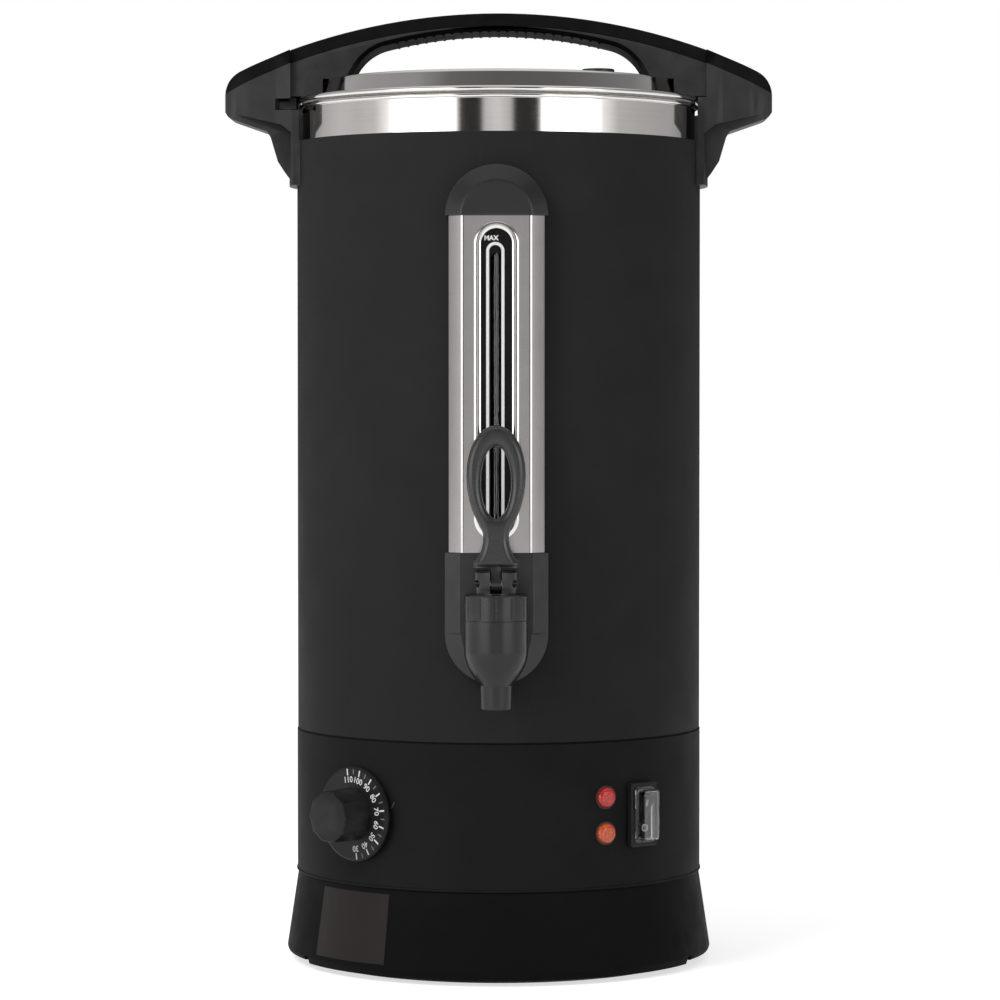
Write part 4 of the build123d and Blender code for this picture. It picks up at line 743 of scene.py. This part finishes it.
def tapLever():
    # an egg-shaped loop whose lower edge is drawn down into a waisted stalk with a wide foot
    low, high = boxOf("tap_lever")
    centre = high.z - lever["loopHeight"] / 2
    holeCentre = high.z - lever["holeDrop"] - lever["holeHeight"] / 2
    bm = bmesh.new()
    outer = leverLoop(bm, lever["loopHalf"], lever["loopHeight"], centre, lever["egg"])
    inner = leverLoop(bm, lever["holeHalf"], lever["holeHeight"], holeCentre)
    bmesh.ops.bridge_loops(bm, edges=list({e for v in outer + inner for e in v.link_edges}))
    stalkTop = centre - lever["loopHeight"] / 2 + lever["stalkFrom"]
    edges = [e for e in bm.edges if e.is_boundary and all(v.co.z < stalkTop for v in e.verts)]
    start = [v.co.copy() for e in edges for v in e.verts]
    level = max(point.z for point in start)
    half = max(abs(point.x) for point in start)
    for drop, share in lever["stalk"]:
        made = bmesh.ops.extrude_edge_only(bm, edges=edges)["geom"]
        edges = [g for g in made if isinstance(g, bmesh.types.BMEdge)]
        verts = [g for g in made if isinstance(g, bmesh.types.BMVert)]
        reach = max(abs(v.co.x) for v in verts)
        for vert in verts:
            vert.co.x *= share * half / reach
            vert.co.z = level - drop
    made = bmesh.ops.extrude_face_region(bm, geom=bm.faces[:])["geom"]
    raised = [g for g in made if isinstance(g, bmesh.types.BMVert)]
    bmesh.ops.translate(bm, vec=(0, low.y + lever["inset"] - lever["back"], 0), verts=raised)
    bmesh.ops.recalc_face_normals(bm, faces=bm.faces)
    steep = radians(lever["roundFrom"])
    rims = [e for e in bm.edges if len(e.link_faces) == 2 and e.calc_face_angle() > steep]
    bmesh.ops.bevel(bm, geom=rims, offset=lever["round"], segments=2, profile=0.5, affect="EDGES",
                    material=-1)
    piece = makePiece("tapLever", bm, "lever", "black_plastic", ["tap_lever"], shades["lever"], sharp=80)
    smooth = piece.modifiers.new("smooth", "SUBSURF")
    smooth.levels = 2
    smooth.render_levels = 2


def leverTang():
    # the part of the lever that drops into the bonnet's slot
    neckTop = boxOf("tap_bonnet")[1].z
    bm = bmesh.new()
    bm.from_mesh(nodes["tap_lever"].data)
    bmesh.ops.remove_doubles(bm, verts=bm.verts, dist=mergeGap * mm)
    cut = bmesh.ops.bisect_plane(bm, geom=bm.verts[:] + bm.edges[:] + bm.faces[:],
                                 plane_co=(0, 0, (neckTop + lever["cutAbove"]) * mm),
                                 plane_no=(0, 0, 1), clear_outer=True)
    rim = [g for g in cut["geom_cut"] if isinstance(g, bmesh.types.BMEdge)]
    bmesh.ops.edgenet_fill(bm, edges=rim)
    bmesh.ops.scale(bm, vec=(1 / mm, 1 / mm, 1 / mm), verts=bm.verts)
    makePiece("leverTang", bm, "lever", "black_plastic", material=shades["tap"])


def tapSpring():
    # the spring over the stem, as a piece with a mesh of its own; the real spring shortens by the stem's
    # travel
    mesh = nodes["tap_spring"].data.copy()
    spring = addPiece("tapSpring", mesh, "root", slotOf["tap_spring"], ["tap_spring"])
    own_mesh(spring)


tapLever()
leverTang()
tapSpring()
print("tap done")

# Control panel
inkDepth = 0.05  # of the printed marks
dial = {"angle": -42.3, "first": -8.6, "step": 22.5, "numbers": range(110, 20, -10), "tickEnd": 24.6,
        "tickLong": 3.6, "tickWide": 0.8, "shortLong": 2.8, "shortWide": 0.64, "numberAt": 18.6,
        "numberHigh": 3.3, "weight": 0.05, "lift": 0.03,
        "indexAt": (-29.6, 95.0), "indexWide": 0.7, "indexLong": 4.0, "indexLean": -28}
softenNode("dial_skirt", "dialDisc", 0.3, "knob")
softenNode("thermostat_knob", "dialKnob", 0.35, "knob")


def dialMarks():
    # a number and a long tick at each step, a short grey tick halfway to the next
    face = wallPlace(dial["angle"], panelHeight, reachOf("dial_skirt", dial["angle"]) + dial["lift"])

    def at(steps, distance):
        turn = Matrix.Rotation(-radians(dial["first"] + steps * dial["step"]), 4, "Z")
        return face @ turn @ Matrix.Translation((0, distance, 0))

    longAt = dial["tickEnd"] - dial["tickLong"] / 2
    shortAt = dial["tickEnd"] - dial["shortLong"] / 2
    strokes, shortStrokes = bmesh.new(), bmesh.new()
    for steps, number in enumerate(dial["numbers"]):
        addBar(strokes, dial["tickWide"], dial["tickLong"], inkDepth, at(steps, longAt))
        addWords(strokes, str(number), dial["numberHigh"], at(steps, dial["numberAt"]), inkDepth,
                 dial["weight"])
        if steps + 1 < len(dial["numbers"]):
            addBar(shortStrokes, dial["shortWide"], dial["shortLong"], inkDepth, at(steps + 0.5, shortAt))
    makePiece("dialScale", strokes, "knob", "black_plastic", material=inks["white"])
    makePiece("dialHalfSteps", shortStrokes, "knob", "black_plastic", material=inks["grey"])


def dialIndex():
    # the faint slanted mark on the band that the scale is read against
    angle, height = dial["indexAt"]
    place = wallPlace(angle, height, bandRadius + dial["lift"])
    lean = Matrix.Rotation(radians(dial["indexLean"]), 4, "Z")
    bm = bmesh.new()
    addBar(bm, dial["indexWide"], dial["indexLong"], inkDepth, place @ lean)
    makePiece("dialIndex", bm, "root", "black_paint", material=inks["faint"])


dialMarks()
dialIndex()

switch = {"angle": 42.9, "tilt": 7.0, "slope": 11.31, "pivotDepth": 2.5, "ridge": 2.4, "lift": 0.05,
          "markAt": 7.4, "barHigh": 3.8, "line": 0.7, "ringRadius": 2.1, "ringPoints": 32,
          "filmWide": 8.6, "filmHigh": 24.6, "filmDepth": 0.1, "filmOut": 5.3}
softenNode("switch_housing", "switchFrame", 0.3, "bezel")
softenNode("switch_rocker", "switchRocker", 0.25)
softenNode("switch_cover", "switchHood", 0.35)
softenNode("cord_gland", "cordGland", 0.5)
switchFace = reachOf("switch_housing", switch["angle"])


def rockerMarks():
    # a bar on the upper slope of the rocker and a ring on the lower one
    pivot = wallPlace(switch["angle"], panelHeight, switchFace - switch["pivotDepth"])
    upper, lower = [
        pivot @ Matrix.Rotation(radians(switch["tilt"] + side * switch["slope"]), 4, "X")
        @ Matrix.Translation((0, side * switch["markAt"], switch["ridge"] + switch["lift"]))
        for side in (1, -1)]
    bm = bmesh.new()
    addBar(bm, switch["line"], switch["barHigh"], inkDepth, upper)
    ring = []
    for radius in (switch["ringRadius"], switch["ringRadius"] - switch["line"]):
        ring += bmesh.ops.create_circle(bm, segments=switch["ringPoints"], radius=radius)["verts"]
    bmesh.ops.bridge_loops(bm, edges=list({e for v in ring for e in v.link_edges}))
    bmesh.ops.transform(bm, matrix=lower, verts=ring)
    makePiece("rockerMarks", bm, "rocker", "cover_plastic", material=inks["white"])


def hoodFilm():
    # the frosted lining of the hood's front
    bm = bmesh.new()
    addBar(bm, switch["filmWide"], switch["filmHigh"], switch["filmDepth"],
           wallPlace(switch["angle"], panelHeight, switchFace + switch["filmOut"]))
    makePiece("hoodFilm", bm, "root", "clear_plastic", material=shades["film"])


lampRing = {"inner": 5.2, "outer": 6.3, "rise": 0.35, "foot": -0.3, "rounds": {2: 0.25}, "turns": 48}


def lampRings():
    # the dark gaskets that the lenses press on
    inner, outer, rise, foot = (lampRing[key] for key in ("inner", "outer", "rise", "foot"))
    bm = bmesh.new()
    for lens in ("power_lamp_lens", "heat_lamp_lens"):
        middle = middleOf(lens)
        ring = spinProfile([(inner, foot), (outer, foot), (outer, rise), (inner, rise)],
                           lampRing["turns"], lampRing["rounds"])
        place = wallPlace(degrees(atan2(middle.x, -middle.y)), middle.z, bandRadius)
        bmesh.ops.transform(ring, matrix=place, verts=ring.verts)
        absorb(bm, ring)
    makePiece("lampRings", bm, "root", "black_rubber")


rockerMarks()
hoodFilm()
lampRings()
print("control panel done")

# Studio, in metres. The ramps pair an angle about the axis, 0 towards the camera, with a brightness;
# highFrom and topFrom are the elevations between which the next layer takes over
studio = {
    "diffuse": 0.75,
    "low": ((-180, 0.55), (-174, 0.5), (-168, 0.1), (-150, 0.12), (-135, 0.35), (-123, 0.5),
            (-105, 0.62), (-90, 0.6), (-76, 0.66), (-66, 1.2), (-58, 3.4), (-27, 3.4), (-22, 0.03),
            (-10, 0.03), (-7.5, 0.62), (0, 0.76), (7.5, 0.56), (10, 0.03), (23.5, 0.03), (28, 3.4),
            (55, 3.4), (63, 1.1), (74, 0.58), (90, 0.5), (123, 0.42), (135, 0.3), (150, 0.12),
            (168, 0.1), (174, 0.5), (180, 0.55)),
    "high": ((-180, 0.4), (-120, 0.4), (-60, 0.34), (-35, 0.16), (0, 0.12), (40, 0.13), (120, 0.25),
             (180, 0.4)),
    "highFrom": (12, 24), "topFrom": (38, 60), "top": 0.8,
    "floorSize": 8.0, "floorTone": 0.6, "floorCloud": 0.02, "floorGlow": 0.6,
    "keyPlace": (-1.3, -1.5, 1.9), "keyAim": (0, 0, 0.3), "keySize": 1.0, "keyPower": 32.0,
}


def studioRamp(tree, place, stops):
    ramp = addNode(tree, "ShaderNodeValToRGB", [("Fac", place)])
    points = ramp.color_ramp.elements
    while len(points) < len(stops):
        points.new(0.5)
    for point, (angle, value) in zip(points, stops):
        point.position = 0.5 + angle / 360
        point.color = (value, value, value, 1)
    return ramp.outputs[0]


def background(tree, colour, strength=1.0):
    return addNode(tree, "ShaderNodeBackground", [("Color", colour), ("Strength", strength)]).outputs[0]


def straightRay(tree, rays):
    # what the camera sees, also through glass
    return calc(tree, "MAXIMUM", rays.outputs["Is Camera Ray"], rays.outputs["Is Transmission Ray"])


def studioWorld():
    # white to the camera; polished parts see two dark flags beside the camera and two white screens
    world = bpy.data.worlds.new("studio")
    scene.world = world
    world.use_nodes = True
    tree = world.node_tree
    tree.nodes.clear()
    direction = addNode(tree, "ShaderNodeTexCoord").outputs["Generated"]
    x, y, z = addNode(tree, "ShaderNodeSeparateXYZ", [(0, direction)]).outputs
    azimuth = calc(tree, "ARCTAN2", x, calc(tree, "MULTIPLY", y, -1.0))
    place = remap(tree, azimuth, -pi, pi)
    room = studioRamp(tree, place, studio["low"])
    layers = ((studio["highFrom"], studioRamp(tree, place, studio["high"])),
              (studio["topFrom"], (studio["top"],) * 3))
    for (start, end), above in layers:
        room = tint(tree, remap(tree, z, sin(radians(start)), sin(radians(end))), room, above)
    white = (1, 1, 1, 1)
    rays = addNode(tree, "ShaderNodeLightPath")
    lit = addNode(tree, "ShaderNodeMixShader", [(0, rays.outputs["Is Glossy Ray"]),
                                                (1, background(tree, white, studio["diffuse"])),
                                                (2, background(tree, room))])
    whole = addNode(tree, "ShaderNodeMixShader", [(0, straightRay(tree, rays)), (1, lit.outputs[0]),
                                                  (2, background(tree, white))])
    addNode(tree, "ShaderNodeOutputWorld", [("Surface", whole.outputs[0])])


def floorMaterial():
    material = bpy.data.materials.new("floor")
    material.use_nodes = True
    tree = material.node_tree
    tree.nodes.clear()
    spot = addNode(tree, "ShaderNodeTexCoord").outputs["Object"]
    cloud = addNode(tree, "ShaderNodeTexNoise", [("Vector", spot), ("Scale", 2.0)])
    plain, cloudy = (studio["floorTone"],) * 3, (studio["floorTone"] + studio["floorCloud"],) * 3
    tone = tint(tree, cloud.outputs[0], plain, cloudy)
    paper = addNode(tree, "ShaderNodeBsdfDiffuse", [("Color", tone)])
    rays = addNode(tree, "ShaderNodeLightPath")
    seen = calc(tree, "MAXIMUM", straightRay(tree, rays), rays.outputs["Is Glossy Ray"])
    glow = addNode(tree, "ShaderNodeEmission",
                   [("Color", (1, 1, 1, 1)),
                    ("Strength", calc(tree, "MULTIPLY", seen, studio["floorGlow"]))])
    whole = addNode(tree, "ShaderNodeAddShader", [(0, paper.outputs[0]), (1, glow.outputs[0])])
    addNode(tree, "ShaderNodeOutputMaterial", [("Surface", whole.outputs[0])])
    return material


def floorSheet():
    bm = bmesh.new()
    bmesh.ops.create_grid(bm, x_segments=2, y_segments=2, size=studio["floorSize"] / 2)
    mesh = bpy.data.meshes.new("floor")
    bm.to_mesh(mesh)
    bm.free()
    mesh.materials.append(floorMaterial())
    floor = bpy.data.objects.new("floor", mesh)
    scene.collection.objects.link(floor)


# Distances and heights of the camera in millimetres
camera = {"lens": 140.12, "sensor": 36.0, "distance": 2182.0, "side": 0.76, "height": 326.1,
          "turn": 0.5, "tilt": 1.838}


def addCamera():
    data = bpy.data.cameras.new("camera")
    data.lens = camera["lens"]
    data.sensor_width = camera["sensor"]
    turn = radians(camera["turn"])
    holder = bpy.data.objects.new("camera", data)
    holder.location = Vector((camera["distance"] * sin(turn) + camera["side"] * cos(turn),
                              -camera["distance"] * cos(turn) + camera["side"] * sin(turn),
                              camera["height"])) * mm
    holder.rotation_euler = (radians(90 - camera["tilt"]), 0, turn)
    scene.collection.objects.link(holder)
    scene.camera = holder


def keyLight():
    # a soft box high at the front left
    data = bpy.data.lights.new("key", "AREA")
    data.size = studio["keySize"]
    data.energy = studio["keyPower"]
    holder = bpy.data.objects.new("key", data)
    holder.visible_glossy = False
    holder.location = studio["keyPlace"]
    aim = Vector(studio["keyAim"]) - holder.location
    holder.rotation_euler = aim.to_track_quat("-Z", "Y").to_euler()
    scene.collection.objects.link(holder)


studioWorld()
floorSheet()
keyLight()
addCamera()
scene.view_settings.view_transform = "Standard"
print("studio done")
